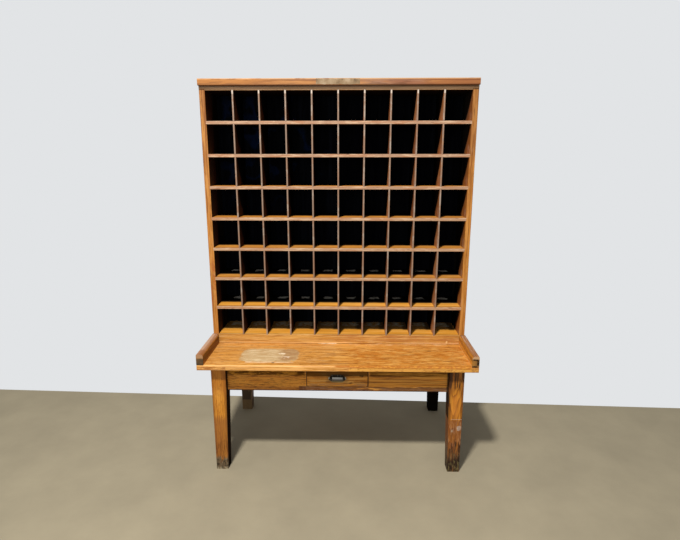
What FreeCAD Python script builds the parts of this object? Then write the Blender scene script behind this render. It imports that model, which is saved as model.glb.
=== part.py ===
import FreeCAD, Part
import os

# Pigeonhole mail sorter: a case of pigeonholes standing on a deep oak table with one drawer.
# Millimetres. X runs to the right, Y away from the user, Z up.
# The origin is on the floor, under the centre of the table top.

Vector = FreeCAD.Vector

# ---- Pigeonholes ----
columns = 10
rows = 8
cell_width = 125.0              # clear width of an inner pigeonhole
end_cell_width = 135.0          # the two end columns are a little wider
cell_height = 147.5             # clear height of every pigeonhole
cell_depth = 226.0              # from the front edges to the back boards
divider_thickness = 8.0
shelf_thickness = 16.0
divider_groove_depth = 2.0      # how far a divider is let into the boards above and below it
shelf_edge_radius = 1.5
divider_edge_radius = 2.0

# ---- Hutch case ----
side_thickness = 29.0
side_edge_radius = 2.5
shelf_housing_depth = 3.0       # how far a shelf is let into the sides
top_board_thickness = 21.0
top_housing_depth = 7.0         # how far the sides are let into the top board
back_board_count = 6
back_board_thickness = 10.0
back_board_gap = 0.3            # open joint between neighbouring back boards
back_rabbet_width = 12.0        # how far the back boards lap the sides
kick_rail_height = 52.0
kick_rail_thickness = 18.0
rear_support_thickness = 18.0
cornice_height = 32.0
cornice_overhang = 20.0         # how far the cornice stands out past the case
cornice_seat = 26.0             # how much of the cornice lies on the top board
cornice_edge_radius = 2.0
label_width = 220.0
label_thickness = 0.4

# ---- Table ----
table_height = 616.0
table_depth = 760.0
deck_depth = 306.0              # open table top in front of the case
table_end_margin = 6.0          # table top past each side of the case
top_thickness = 30.0
top_board_count = 3
nosing_radius = 9.0
deck_rail_height = 55.0
deck_rail_inner_radius = 14.0
deck_rail_outer_radius = 4.0

# ---- Legs and aprons ----
leg_section = 75.0
leg_taper = 12.0                # how much the two inner faces draw in at the foot
leg_edge_radius = 3.0
front_overhang = 40.0           # table top past the legs
rear_overhang = 16.0
end_overhang = 58.0
apron_height = 138.0
apron_thickness = 22.0
apron_setback = 27.0            # apron face behind the outer leg face
tenon_thickness = 8.0
tenon_shoulder = 12.0
tenon_tip_gap = 5.0             # wood left between two tenons that meet in a leg

# ---- Top buttons: small blocks that hold the table top to the aprons ----
button_length = 40.0
button_width = 30.0
button_height = 22.0
button_tongue = 7.0
button_tongue_depth = 8.0
button_tongue_drop = 12.0       # top of the tongue below the table top
button_span_share = 0.72        # how far out the end buttons sit between the legs

# ---- Drawer ----
drawer_width = 317.0
drawer_height = 109.0
drawer_length = 420.0
drawer_gap = 1.5                # around the drawer front
drawer_front_thickness = 20.0
drawer_side_thickness = 10.0
drawer_side_drop = 6.0          # sides are lower than the top of the front
drawer_side_inset = 1.0         # sides stand in from the ends of the front
drawer_side_lap = 12.0          # length of the rabbet that holds a side
drawer_back_thickness = 10.0
drawer_back_drop = 8.0          # back is lower than the sides
drawer_bottom_thickness = 5.0
drawer_bottom_rise = 8.0        # bottom panel above the lower edge of the sides
drawer_groove_depth = 4.0
drawer_running_gap = 0.3        # between the sliding sides and their runners
drawer_guide_gap = 1.0
runner_height = 20.0
runner_inner_margin = 6.0       # runner past the inner face of a drawer side
guide_thickness = 12.0
guide_height = 30.0
stop_size = 18.0

# ---- Flush drawer pull ----
pull_width = 92.0
pull_height = 42.0
pull_plate_thickness = 2.0
pull_flat_width = 52.0          # length of the straight top and bottom edges
pull_tip_height = 10.0          # height of the blunt pointed ends
pull_drop = 12.0                # below the middle of the drawer front
pull_corner_radius = 2.5
recess_width = 62.0
recess_height = 27.0
recess_depth = 13.0
recess_wall = 1.5
recess_lip = 4.0                # finger lip: the cup reaches up behind the plate

# ---- Fasteners: shank diameters, then how far each kind bites into the piece behind ----
button_screw_shank = 4.0
table_screw_shank = 5.0
cornice_screw_shank = 4.5
back_screw_shank = 4.0
pull_screw_shank = 2.6
button_screw_bite = 16.0
table_screw_bite = 32.0
cornice_screw_bite = 10.0
back_screw_bite = 16.0
pull_screw_bite = 10.0
counterbore_depth = 6.0
back_counterbore_depth = 3.5    # the thin back boards take a shallower one
head_width_ratio = 2.0          # head diameter over shank diameter
head_height_ratio = 0.75        # head height over shank diameter
slot_share = 0.18               # slot width over head diameter
screw_end_share = 0.2           # screws sit this share in from the ends of what they hold
cornice_screw_shares = (-0.9, -0.3, 0.3, 0.9)

# Shank diameter and shank length
button_screw_size = (button_screw_shank, button_height + button_screw_bite)
table_screw_size = (table_screw_shank, top_thickness - counterbore_depth + table_screw_bite)
cornice_screw_size = (cornice_screw_shank, cornice_height - counterbore_depth + cornice_screw_bite)
back_screw_size = (back_screw_shank, back_board_thickness - back_counterbore_depth + back_screw_bite)
pull_screw_size = (pull_screw_shank, pull_plate_thickness + pull_screw_bite)

# ---- Fits ----
joint_gap = 0.15                # each side of a housed or tenoned joint
screw_gap = 0.1                 # around a screw
tip_gap = 1.0                   # beyond the point of a screw

# ---- Worked out from the sizes above ----
row_pitch = cell_height + shelf_thickness
inner_width = (columns - 2) * cell_width + 2 * end_cell_width + (columns - 1) * divider_thickness
case_width = inner_width + 2 * side_thickness
table_length = case_width + 2 * table_end_margin
inner_x = inner_width / 2
case_x = case_width / 2
table_x = table_length / 2

table_front = -table_depth / 2
table_back = table_depth / 2
case_front = table_front + deck_depth
cells_back = case_front + cell_depth
case_back = cells_back + back_board_thickness

floor_level = table_height + kick_rail_height
cells_top = floor_level + rows * cell_height + (rows - 1) * shelf_thickness
case_top = cells_top + top_board_thickness
top_underside = table_height - top_thickness

leg_outer_x = table_x - end_overhang
leg_inner_x = leg_outer_x - leg_section
leg_front = table_front + front_overhang
leg_back = table_back - rear_overhang
apron_bottom = top_underside - apron_height
apron_front = leg_front + apron_setback
apron_front_inner = apron_front + apron_thickness
rear_apron_inner = leg_back - apron_setback - apron_thickness
side_apron_outer = leg_outer_x - apron_setback
side_apron_inner = side_apron_outer - apron_thickness
tenon_length = leg_section - apron_setback - (apron_thickness + tenon_thickness) / 2 - tenon_tip_gap

drawer_x = drawer_width / 2
drawer_side_outer = drawer_x - drawer_side_inset
drawer_side_inner = drawer_side_outer - drawer_side_thickness
drawer_top = top_underside - drawer_gap
drawer_bottom_edge = drawer_top - drawer_height
rail_top = drawer_bottom_edge - drawer_gap
drawer_front_inner = apron_front + drawer_front_thickness
drawer_back_end = apron_front + drawer_length
side_bottom = rail_top + drawer_running_gap
side_top = drawer_top - drawer_side_drop
panel_bottom = side_bottom + drawer_bottom_rise
panel_top = panel_bottom + drawer_bottom_thickness
side_front_end = drawer_front_inner - drawer_side_lap
guide_inner_x = drawer_side_outer + drawer_guide_gap
guide_outer_x = guide_inner_x + guide_thickness
pull_level = (drawer_top + drawer_bottom_edge) / 2 - pull_drop


# ---- Small helpers ----
def box(x0, x1, y0, y1, z0, z1):
    """A rectangular block between two corners."""
    return Part.makeBox(x1 - x0, y1 - y0, z1 - z0, Vector(x0, y0, z0))


def edges_on(shape, x=None, y=None, z=None):
    """The edges that lie wholly on every plane that is named."""
    planes = [(name, value) for name, value in zip("XYZ", (x, y, z)) if value is not None]

    def lies_on_planes(edge):
        bounds = edge.BoundBox
        ends = [(getattr(bounds, name + "Min"), getattr(bounds, name + "Max"), value) for name, value in planes]
        return all(abs(low - value) < 0.001 and abs(high - value) < 0.001 for low, high, value in ends)

    return [edge for edge in shape.Edges if lies_on_planes(edge)]


def rounded(shape, radius, *edge_groups):
    """The shape with every edge in the groups rounded to one radius."""
    return shape.makeFillet(radius, [edge for group in edge_groups for edge in group])


def cut_all(shape, tools):
    """The shape with all the tools cut from it."""
    return shape.cut(tools).removeSplitter() if tools else shape


def mirrored(shape):
    """The same piece on the other side of the middle plane."""
    return shape.mirror(Vector(0, 0, 0), Vector(1, 0, 0))


def placed(shape, point, direction):
    """A shape drawn along +Z from the origin, set at a point and turned to a direction."""
    turned = shape.copy()
    turned.Placement = FreeCAD.Placement(point, FreeCAD.Rotation(Vector(0, 0, 1), direction))
    return turned


def screw(size):
    """A slotted screw: the head seats at z = 0 and the shank runs along +Z."""
    shank_diameter, length = size
    head_diameter = head_width_ratio * shank_diameter
    head_height = head_height_ratio * shank_diameter
    head = Part.makeCylinder(head_diameter / 2, head_height, Vector(0, 0, -head_height))
    shank = Part.makeCylinder(shank_diameter / 2, length)
    slot_half = slot_share * head_diameter / 2
    slot = box(-head_diameter, head_diameter, -slot_half, slot_half, -head_height, -head_height / 2)
    return head.fuse(shank).removeSplitter().cut(slot)


def screw_hole(size, counterbore=0.0):
    """The hole for a screw, with room for its head when it is counterbored."""
    shank_diameter, length = size
    hole = Part.makeCylinder(shank_diameter / 2 + screw_gap, length + tip_gap)
    if counterbore > 0:
        head_radius = head_width_ratio * shank_diameter / 2
        head_room = Part.makeCylinder(head_radius + screw_gap, counterbore, Vector(0, 0, -counterbore))
        hole = hole.fuse(head_room).removeSplitter()
    return hole


# ---- Places of the fasteners ----
UP = Vector(0, 0, 1)
DOWN = Vector(0, 0, -1)
FORWARD = Vector(0, -1, 0)
INWARD = Vector(0, 1, 0)

case_side_centre = case_x - side_thickness / 2
deck_rail_centre = (inner_x + table_x) / 2
table_screw_seat = top_underside + counterbore_depth
table_screw_places = [
    Vector(side * x, front + share * length, table_screw_seat)
    for side in (-1, 1)
    for x, front, length in ((case_side_centre, case_front, cell_depth), (deck_rail_centre, table_front, deck_depth))
    for share in (screw_end_share, 1 - screw_end_share)
]

cornice_top = case_top + cornice_height
cornice_screw_seat = cornice_top - counterbore_depth
cornice_screw_places = [
    Vector(share * case_x, case_front + cornice_seat / 2, cornice_screw_seat)
    for share in cornice_screw_shares
]

back_left = -(inner_x + back_rabbet_width) + joint_gap
back_total = -2 * back_left
back_board_width = (back_total - (back_board_count - 1) * back_board_gap) / back_board_count
back_board_pitch = back_board_width + back_board_gap
bottom_shelf_underside = floor_level - shelf_thickness


def shelf_level(number):
    """Underside of a shelf, counted down from the top: 1 is under the top row."""
    return floor_level + (rows - number) * row_pitch - shelf_thickness


back_screw_levels = [
    (table_height + bottom_shelf_underside) / 2,
    shelf_level(rows // 2) + shelf_thickness / 2,
    shelf_level(1) + shelf_thickness / 2,
]
back_screw_seat = case_back - back_counterbore_depth
back_screw_places = [
    Vector(back_left + board * back_board_pitch + back_board_width / 2, back_screw_seat, level)
    for board in range(back_board_count)
    for level in back_screw_levels
]

button_offset = button_span_share * leg_inner_x
button_places = [
    (Vector(-button_offset, apron_front_inner, top_underside), 0),
    (Vector(button_offset, apron_front_inner, top_underside), 0),
    (Vector(-button_offset, rear_apron_inner, top_underside), 180),
    (Vector(0, rear_apron_inner, top_underside), 180),
    (Vector(button_offset, rear_apron_inner, top_underside), 180),
    (Vector(-side_apron_inner, 0, top_underside), -90),
    (Vector(side_apron_inner, 0, top_underside), 90),
]


def button_placement(point, angle):
    return FreeCAD.Placement(point, FreeCAD.Rotation(Vector(0, 0, 1), angle))


def button_screw_point(point, angle):
    """Under the middle of a button, where its screw's head seats."""
    middle = Vector(0, button_width / 2, -button_height)
    return button_placement(point, angle).multVec(middle)


pull_screw_x = (pull_width + recess_width) / 4 + recess_wall / 2
pull_face = apron_front - pull_plate_thickness
pull_screw_places = [Vector(side * pull_screw_x, pull_face, pull_level) for side in (-1, 1)]


def holes(size, places, direction, counterbore=0.0):
    """Screw holes at a list of places."""
    tool = screw_hole(size, counterbore)
    return [placed(tool, place, direction) for place in places]


def screws(size, places, direction):
    """A set of identical screws at a list of places."""
    return Part.makeCompound([placed(screw(size), place, direction) for place in places])


table_screw_holes = holes(table_screw_size, table_screw_places, UP, counterbore_depth)
cornice_screw_holes = holes(cornice_screw_size, cornice_screw_places, DOWN, counterbore_depth)
back_screw_holes = holes(back_screw_size, back_screw_places, FORWARD, back_counterbore_depth)
pull_screw_holes = holes(pull_screw_size, pull_screw_places, INWARD)
button_screw_holes = holes(button_screw_size, [button_screw_point(*place) for place in button_places], UP)


# ---- Table frame ----
def tenon_tool(x0, x1, y0, y1, gap=0.0):
    """A tenon, or with a gap its mortise, between two plan corners."""
    return box(x0, x1, y0, y1, apron_bottom + tenon_shoulder - gap, top_underside - tenon_shoulder + gap)


def prism(points, sweep):
    """A straight-sided solid: a closed outline swept along a vector."""
    return Part.Face(Part.makePolygon(points + points[:1])).extrude(sweep)


def tapered_outline(outer, inward):
    """Side view of a leg, as (distance, level) points: upright outside and tapered inside."""
    inner = outer + inward * leg_section
    foot = outer + inward * (leg_section - leg_taper)
    return [(outer, 0), (outer, top_underside), (inner, top_underside), (inner, apron_bottom), (foot, 0)]


def leg_right(front):
    """A right-hand leg, mortised for two aprons and tapered on its inner faces below them."""
    outer_y = leg_front if front else leg_back
    inward = 1 if front else -1
    front_view = [Vector(x, outer_y, z) for x, z in tapered_outline(leg_outer_x, -1)]
    side_view = [Vector(leg_outer_x, y, z) for y, z in tapered_outline(outer_y, inward)]
    leg = prism(front_view, Vector(0, inward * leg_section, 0))
    leg = leg.common(prism(side_view, Vector(-leg_section, 0, 0))).removeSplitter()
    # The corner that faces the middle of the table stays square.
    inner_corner = Part.Vertex(leg_inner_x, outer_y + inward * leg_section, apron_bottom)
    corners = [edge for edge in leg.Edges
               if edge.BoundBox.ZLength > apron_height / 2 and edge.distToShape(inner_corner)[0] > leg_edge_radius]
    leg = rounded(leg, leg_edge_radius, corners)

    apron_y = outer_y + inward * (apron_setback + apron_thickness / 2)
    apron_x = side_apron_outer - apron_thickness / 2
    half = tenon_thickness / 2 + joint_gap
    reach = tenon_length + joint_gap
    inner_y = outer_y + inward * leg_section
    low_y, high_y = sorted((inner_y, inner_y - inward * reach))
    long_mortise = tenon_tool(leg_inner_x, leg_inner_x + reach, apron_y - half, apron_y + half, joint_gap)
    side_mortise = tenon_tool(apron_x - half, apron_x + half, low_y, high_y, joint_gap)
    return cut_all(leg, [long_mortise, side_mortise])


def long_apron(front):
    """The front or rear apron, tenoned into the legs and grooved for the top buttons."""
    outer_y = apron_front if front else rear_apron_inner
    middle_y = outer_y + apron_thickness / 2
    apron = box(-leg_inner_x, leg_inner_x, outer_y, outer_y + apron_thickness, apron_bottom, top_underside)
    reach = leg_inner_x + tenon_length
    half = tenon_thickness / 2
    apron = apron.fuse(tenon_tool(-reach, reach, middle_y - half, middle_y + half)).removeSplitter()
    inner_y = apron_front_inner if front else rear_apron_inner
    low_y, high_y = sorted((inner_y, inner_y + (-1 if front else 1) * button_tongue_depth))
    tools = [box(-leg_inner_x, leg_inner_x, low_y, high_y, *button_groove_levels())]
    if front:
        tools.append(box(-drawer_x - drawer_gap, drawer_x + drawer_gap,
                         apron_front, apron_front_inner, rail_top, top_underside))
    return cut_all(apron, tools)


def button_groove_levels():
    """Lower and upper level of the groove for the button tongues."""
    upper = top_underside - button_tongue_drop + joint_gap
    return upper - button_tongue - 2 * joint_gap, upper


def side_apron_right():
    """The right-hand apron between a front and a rear leg."""
    y0 = leg_front + leg_section
    y1 = leg_back - leg_section
    middle_x = (side_apron_inner + side_apron_outer) / 2
    half = tenon_thickness / 2
    apron = box(side_apron_inner, side_apron_outer, y0, y1, apron_bottom, top_underside)
    tenons = tenon_tool(middle_x - half, middle_x + half, y0 - tenon_length, y1 + tenon_length)
    groove = box(side_apron_inner, side_apron_inner + button_tongue_depth, y0, y1, *button_groove_levels())
    return cut_all(apron.fuse(tenons).removeSplitter(), [groove])


def top_buttons():
    """Blocks screwed under the table top, each with a tongue in an apron's groove."""
    block = box(-button_length / 2, button_length / 2, joint_gap, button_width, -button_height, 0)
    tongue = box(-button_length / 2, button_length / 2, -button_tongue_depth + 2 * joint_gap, button_width / 2,
                 -button_tongue_drop - button_tongue, -button_tongue_drop)
    button = block.fuse(tongue).removeSplitter()
    pieces = []
    for place in button_places:
        piece = button.copy()
        piece.Placement = button_placement(*place)
        pieces.append(cut_all(piece, button_screw_holes))
    return Part.makeCompound(pieces)


def table_top_board(number):
    """One of the boards of the table top, counted from the front."""
    width = table_depth / top_board_count
    y0 = table_front + (number - 1) * width
    board = box(-table_x, table_x, y0, y0 + width, top_underside, table_height)
    if number == 1:
        board = rounded(board, nosing_radius, edges_on(board, y=y0, z=table_height))
        board = rounded(board, nosing_radius / 2, edges_on(board, y=y0, z=top_underside))
    return cut_all(board, table_screw_holes + button_screw_holes)


def deck_rail_right():
    """The rail along the right-hand end of the open table top."""
    rail_top_level = table_height + deck_rail_height
    rail = box(inner_x, table_x, table_front, case_front, table_height, rail_top_level)
    rail = rounded(rail, deck_rail_inner_radius, edges_on(rail, x=inner_x, z=rail_top_level))
    rail = rounded(rail, deck_rail_outer_radius, edges_on(rail, x=table_x, z=rail_top_level))
    return cut_all(rail, table_screw_holes)


# ---- Drawer running gear ----
def runner_right():
    """The bar that the right-hand drawer side slides on, from apron to apron."""
    return box(drawer_side_inner - runner_inner_margin, guide_outer_x,
               apron_front_inner, rear_apron_inner, rail_top - runner_height, rail_top)


def guide_right():
    """The strip on the runner that keeps the drawer straight."""
    return box(guide_inner_x, guide_outer_x, apron_front_inner, rear_apron_inner,
               rail_top, rail_top + guide_height)


def drawer_stops():
    """Blocks on the runners, behind the drawer, that stop its front flush with the apron."""
    start = drawer_back_end + drawer_running_gap
    stop = box(drawer_side_outer - stop_size, drawer_side_outer, start, start + stop_size,
               rail_top, rail_top + stop_size)
    return Part.makeCompound([mirrored(stop), stop])


# ---- Drawer ----
def pull_outline(margin, level):
    """The pull's long outline with blunt pointed ends, as a face at one level of Y."""
    half_width = pull_width / 2 + margin
    half_flat = pull_flat_width / 2
    half_height = pull_height / 2 + margin
    half_tip = pull_tip_height / 2
    quarter = [(half_width, -half_tip), (half_width, half_tip), (half_flat, half_height)]
    right_side = [(half_flat, -half_height)] + quarter
    left_side = [(-x, -z) for x, z in right_side]
    outline = right_side + left_side
    points = [Vector(x, level, pull_level + z) for x, z in outline + outline[:1]]
    return Part.Face(Part.makePolygon(points))


def recess_block(margin, front, back):
    """The finger recess, undercut behind the plate's upper edge, with a margin on every side."""
    half = recess_width / 2
    low = pull_level - recess_height / 2
    high = pull_level + recess_height / 2
    mouth = box(-half - margin, half + margin, front, back, low - margin, high + margin)
    behind = box(-half - margin, half + margin, apron_front, back, low - margin, high + recess_lip + margin)
    return mouth.fuse(behind).removeSplitter()


def drawer_pull():
    """A flush pull: a plate with a cup behind it for the fingers."""
    plate = pull_outline(0, pull_face).extrude(Vector(0, pull_plate_thickness, 0))
    upright = [edge for edge in plate.Edges if edge.BoundBox.YLength > pull_plate_thickness / 2]
    plate = rounded(plate, pull_corner_radius, upright)
    plate = rounded(plate, pull_plate_thickness / 3, edges_on(plate, y=pull_face))
    cup_back = apron_front + recess_depth
    low = pull_level - recess_height / 2 - recess_wall
    high = pull_level + recess_height / 2 + recess_lip + recess_wall
    half = recess_width / 2 + recess_wall
    cup = box(-half, half, apron_front, cup_back, low, high)
    hollow = recess_block(0, pull_face, cup_back - recess_wall)
    return cut_all(plate.fuse(cup).removeSplitter(), [hollow] + pull_screw_holes)


def drawer_front():
    """The drawer front, rabbeted for the sides, grooved for the bottom and cut out for the pull."""
    front = box(-drawer_x, drawer_x, apron_front, drawer_front_inner, drawer_bottom_edge, drawer_top)
    tools = []
    for side in (-1, 1):
        low_x, high_x = sorted((side * (drawer_side_inner - joint_gap), side * drawer_x))
        tools.append(box(low_x, high_x, side_front_end - joint_gap, drawer_front_inner,
                         drawer_bottom_edge, drawer_top))
    tools.append(panel_groove(drawer_front_inner - drawer_groove_depth - joint_gap, drawer_front_inner))
    gap = 2 * joint_gap
    half = recess_width / 2 + recess_wall + gap
    low = pull_level - recess_height / 2 - recess_wall - gap
    high = pull_level + recess_height / 2 + recess_lip + recess_wall + gap
    tools.append(box(-half, half, apron_front, apron_front + recess_depth + gap, low, high))
    return cut_all(front, tools + pull_screw_holes)


def panel_groove(y0, y1):
    """The groove for the drawer bottom, wide enough to reach into both sides."""
    half = drawer_side_inner + drawer_groove_depth + joint_gap
    return box(-half, half, y0, y1, panel_bottom - joint_gap, panel_top + joint_gap)


def drawer_side_right():
    """The right-hand drawer side, grooved for the bottom panel."""
    side = box(drawer_side_inner, drawer_side_outer, side_front_end, drawer_back_end, side_bottom, side_top)
    return cut_all(side, [panel_groove(side_front_end, drawer_back_end)])


def drawer_back():
    """The drawer back, between the sides and on top of the bottom panel."""
    return box(-drawer_side_inner, drawer_side_inner, drawer_back_end - drawer_back_thickness,
               drawer_back_end, panel_top, side_top - drawer_back_drop)


def drawer_bottom():
    """The bottom panel, in the grooves of the front and the sides."""
    half = drawer_side_inner + drawer_groove_depth
    return box(-half, half, drawer_front_inner - drawer_groove_depth, drawer_back_end, panel_bottom, panel_top)


# ---- Pigeonhole case ----
def divider_x(number):
    """Centre of a divider, counted from the left."""
    first = -inner_x + end_cell_width + divider_thickness / 2
    return first + (number - 1) * (cell_width + divider_thickness)


def divider_row(number):
    """The upright dividers of one row, counted down from the top row."""
    low = floor_level + (rows - number) * row_pitch - divider_groove_depth + joint_gap
    high = low + cell_height + 2 * (divider_groove_depth - joint_gap)
    dividers = []
    for column in range(1, columns):
        x0 = divider_x(column) - divider_thickness / 2
        x1 = x0 + divider_thickness
        divider = box(x0, x1, case_front, cells_back, low, high)
        front_edges = edges_on(divider, x=x0, y=case_front) + edges_on(divider, x=x1, y=case_front)
        dividers.append(rounded(divider, divider_edge_radius, front_edges))
    return Part.makeCompound(dividers)


def divider_grooves(level, direction):
    """Grooves for a row of dividers, cut up or down from a board's face at this level."""
    low, high = sorted((level, level + direction * divider_groove_depth))
    half = divider_thickness / 2 + joint_gap
    return [box(divider_x(column) - half, divider_x(column) + half, case_front, cells_back, low, high)
            for column in range(1, columns)]


def shelf(number):
    """A shelf between two rows, let into both sides and grooved on both faces."""
    low = shelf_level(number)
    high = low + shelf_thickness
    reach = inner_x + shelf_housing_depth - joint_gap
    board = box(-reach, reach, case_front, cells_back, low, high)
    front_edges = edges_on(board, y=case_front, z=low) + edges_on(board, y=case_front, z=high)
    board = rounded(board, shelf_edge_radius, front_edges)
    return cut_all(board, divider_grooves(low, 1) + divider_grooves(high, -1) + back_screw_holes)


def bottom_shelf():
    """The floor of the bottom row, behind the kick rail and level with its top."""
    reach = inner_x + shelf_housing_depth - joint_gap
    board = box(-reach, reach, case_front + kick_rail_thickness, cells_back, bottom_shelf_underside, floor_level)
    return cut_all(board, divider_grooves(floor_level, -1))


def kick_rail():
    """The board under the bottom row, standing on the table top between the sides."""
    rail = box(-inner_x, inner_x, case_front, case_front + kick_rail_thickness, table_height, floor_level)
    rail = rounded(rail, shelf_edge_radius, edges_on(rail, y=case_front, z=floor_level))
    return cut_all(rail, divider_grooves(floor_level, -1))


def rear_support():
    """The bar that carries the back of the bottom shelf."""
    bar = box(-inner_x, inner_x, cells_back - rear_support_thickness, cells_back,
              table_height, bottom_shelf_underside)
    return cut_all(bar, back_screw_holes)


def case_side_right():
    """The right-hand side of the case, with a housing for every shelf and a rabbet for the back."""
    side = box(inner_x, case_x, case_front, case_back, table_height, cells_top + top_housing_depth)
    front_edges = edges_on(side, x=inner_x, y=case_front) + edges_on(side, x=case_x, y=case_front)
    side = rounded(side, side_edge_radius, front_edges)
    levels = [shelf_level(number) for number in range(1, rows)]
    housings = [(level, case_front) for level in levels]
    housings.append((bottom_shelf_underside, case_front + kick_rail_thickness))
    tools = [box(inner_x, inner_x + shelf_housing_depth, start, cells_back,
                 level - joint_gap, level + shelf_thickness + joint_gap) for level, start in housings]
    tools.append(box(inner_x, inner_x + back_rabbet_width, cells_back, case_back,
                     table_height, cells_top + top_housing_depth))
    return cut_all(side, tools + table_screw_holes)


def case_top_board():
    """The top of the case, housed over the sides and grooved for the top row of dividers."""
    board = box(-case_x, case_x, case_front, case_back, cells_top, case_top)
    board = rounded(board, shelf_edge_radius, edges_on(board, y=case_front, z=cells_top))
    tools = divider_grooves(cells_top, 1)
    for side in (-1, 1):
        low_x, high_x = sorted((side * (inner_x - joint_gap), side * case_x))
        tools.append(box(low_x, high_x, case_front, case_back, cells_top, cells_top + top_housing_depth))
    return cut_all(board, tools + cornice_screw_holes)


def cornice():
    """The rail along the front of the case's top."""
    y0 = case_front - cornice_overhang
    rail = box(-case_x, case_x, y0, case_front + cornice_seat, case_top, cornice_top)
    rail = rounded(rail, cornice_edge_radius, edges_on(rail, y=y0, z=case_top), edges_on(rail, y=y0, z=cornice_top))
    return cut_all(rail, cornice_screw_holes)


def blank_label():
    """A bare paper label on the middle of the cornice, as high as the flat of its face."""
    y1 = case_front - cornice_overhang
    return box(-label_width / 2, label_width / 2, y1 - label_thickness, y1,
               case_top + cornice_edge_radius, cornice_top - cornice_edge_radius)


def back_board(number):
    """One upright board of the back, counted from the left."""
    x0 = back_left + (number - 1) * back_board_pitch
    board = box(x0, x0 + back_board_width, cells_back, case_back, table_height, cells_top)
    return cut_all(board, back_screw_holes)


# ---- All the nodes ----
nodes = {
    "leg_front_right": leg_right(front=True),
    "leg_rear_right": leg_right(front=False),
    "front_apron": long_apron(front=True),
    "rear_apron": long_apron(front=False),
    "side_apron_right": side_apron_right(),
    "top_buttons": top_buttons(),
    "button_screws": screws(button_screw_size, [button_screw_point(*place) for place in button_places], UP),
    "deck_rail_right": deck_rail_right(),
    "table_top_screws": screws(table_screw_size, table_screw_places, UP),
    "drawer_runner_right": runner_right(),
    "drawer_guide_right": guide_right(),
    "drawer_stops": drawer_stops(),
    "drawer_front": drawer_front(),
    "drawer_side_right": drawer_side_right(),
    "drawer_back": drawer_back(),
    "drawer_bottom": drawer_bottom(),
    "drawer_pull": drawer_pull(),
    "drawer_pull_screws": screws(pull_screw_size, pull_screw_places, INWARD),
    "case_side_right": case_side_right(),
    "case_top_board": case_top_board(),
    "cornice": cornice(),
    "cornice_screws": screws(cornice_screw_size, cornice_screw_places, DOWN),
    "blank_label": blank_label(),
    "kick_rail": kick_rail(),
    "bottom_shelf": bottom_shelf(),
    "rear_support": rear_support(),
    "back_board_screws": screws(back_screw_size, back_screw_places, FORWARD),
}
for number in range(1, top_board_count + 1):
    nodes["table_top_board_%d" % number] = table_top_board(number)
for number in range(1, rows):
    nodes["shelf_%d" % number] = shelf(number)
for number in range(1, rows + 1):
    nodes["dividers_row_%d" % number] = divider_row(number)
for number in range(1, back_board_count + 1):
    nodes["back_board_%d" % number] = back_board(number)
for name in [name for name in nodes if name.endswith("_right")]:
    nodes[name.replace("_right", "_left")] = mirrored(nodes[name])

os.makedirs("parts", exist_ok=True)
for name, shape in nodes.items():
    shape.exportStep("parts/%s.step" % name)
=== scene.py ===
import math

import bmesh
import bpy
from mathutils import Matrix, Vector, noise


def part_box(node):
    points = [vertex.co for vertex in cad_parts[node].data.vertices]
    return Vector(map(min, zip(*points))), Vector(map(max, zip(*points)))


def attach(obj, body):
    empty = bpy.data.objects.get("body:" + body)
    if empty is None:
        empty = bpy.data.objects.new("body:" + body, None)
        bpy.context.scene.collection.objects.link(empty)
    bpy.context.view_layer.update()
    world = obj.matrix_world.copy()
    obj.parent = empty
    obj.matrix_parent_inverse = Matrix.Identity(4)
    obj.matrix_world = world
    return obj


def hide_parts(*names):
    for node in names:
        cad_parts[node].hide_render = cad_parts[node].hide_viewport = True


bl_info = {
    "name": "Pigeonhole Mail Sorter",
    "version": (1, 0, 0),
    "blender": (4, 5, 0),
    "location": "View3D > Sidebar > Mail Sorter",
    "description": "Finishes, hardware and stage for a worn oak pigeonhole mail sorter",
    "category": "Object",
}

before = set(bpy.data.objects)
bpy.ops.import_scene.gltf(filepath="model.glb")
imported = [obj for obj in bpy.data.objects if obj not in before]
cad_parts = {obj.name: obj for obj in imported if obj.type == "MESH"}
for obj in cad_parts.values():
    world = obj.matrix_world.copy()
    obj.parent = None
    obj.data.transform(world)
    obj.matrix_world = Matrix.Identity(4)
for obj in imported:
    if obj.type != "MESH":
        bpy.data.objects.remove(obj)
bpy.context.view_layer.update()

MM = 0.001
FAR = 9000.0  # millimetres, farther than any face of the object

# Places that the finishes follow, read from the frame (millimetres). The inner faces of the case
# stand in line with those of the deck rails.
DECK_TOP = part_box("table_top_board_1")[1].z / MM
DECK_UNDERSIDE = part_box("table_top_board_1")[0].z / MM
DECK_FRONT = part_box("table_top_board_1")[0].y / MM
CASE_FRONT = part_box("case_side_left")[0].y / MM
CASE_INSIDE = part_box("deck_rail_right")[0].x / MM
CELLS_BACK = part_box("shelf_1")[1].y / MM
CELLS_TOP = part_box("case_top_board")[0].z / MM
FLOOR_OF_ROW_8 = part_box("bottom_shelf")[1].z / MM
ROW_PITCH = (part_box("shelf_1")[0].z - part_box("shelf_2")[0].z) / MM

# Widths of a column, a board of the table top and a back board (millimetres)
COLUMN_PITCH, DECK_BOARD, BACK_BOARD = 133.0, 253.34, 227.9
# Left front corner of the bleached patch on the deck
PATCH_CORNER = (-511.0, -334.0)

# Stretches that marks repeat in, for x, y and z
EACH_CELL = ((0, COLUMN_PITCH), None, None)
EACH_ROW = (None, None, (FLOOR_OF_ROW_8 - 8, FLOOR_OF_ROW_8 - 8 + ROW_PITCH))

# Camera: its place in metres, and how far it looks down and turns to its left in degrees
EYE = (0.062, -2.618, 1.615)
LOOKS_DOWN, TURNS_LEFT = 12.87, 1.19
PIXEL = 1 / 680  # as a share of the width of the view


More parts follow.
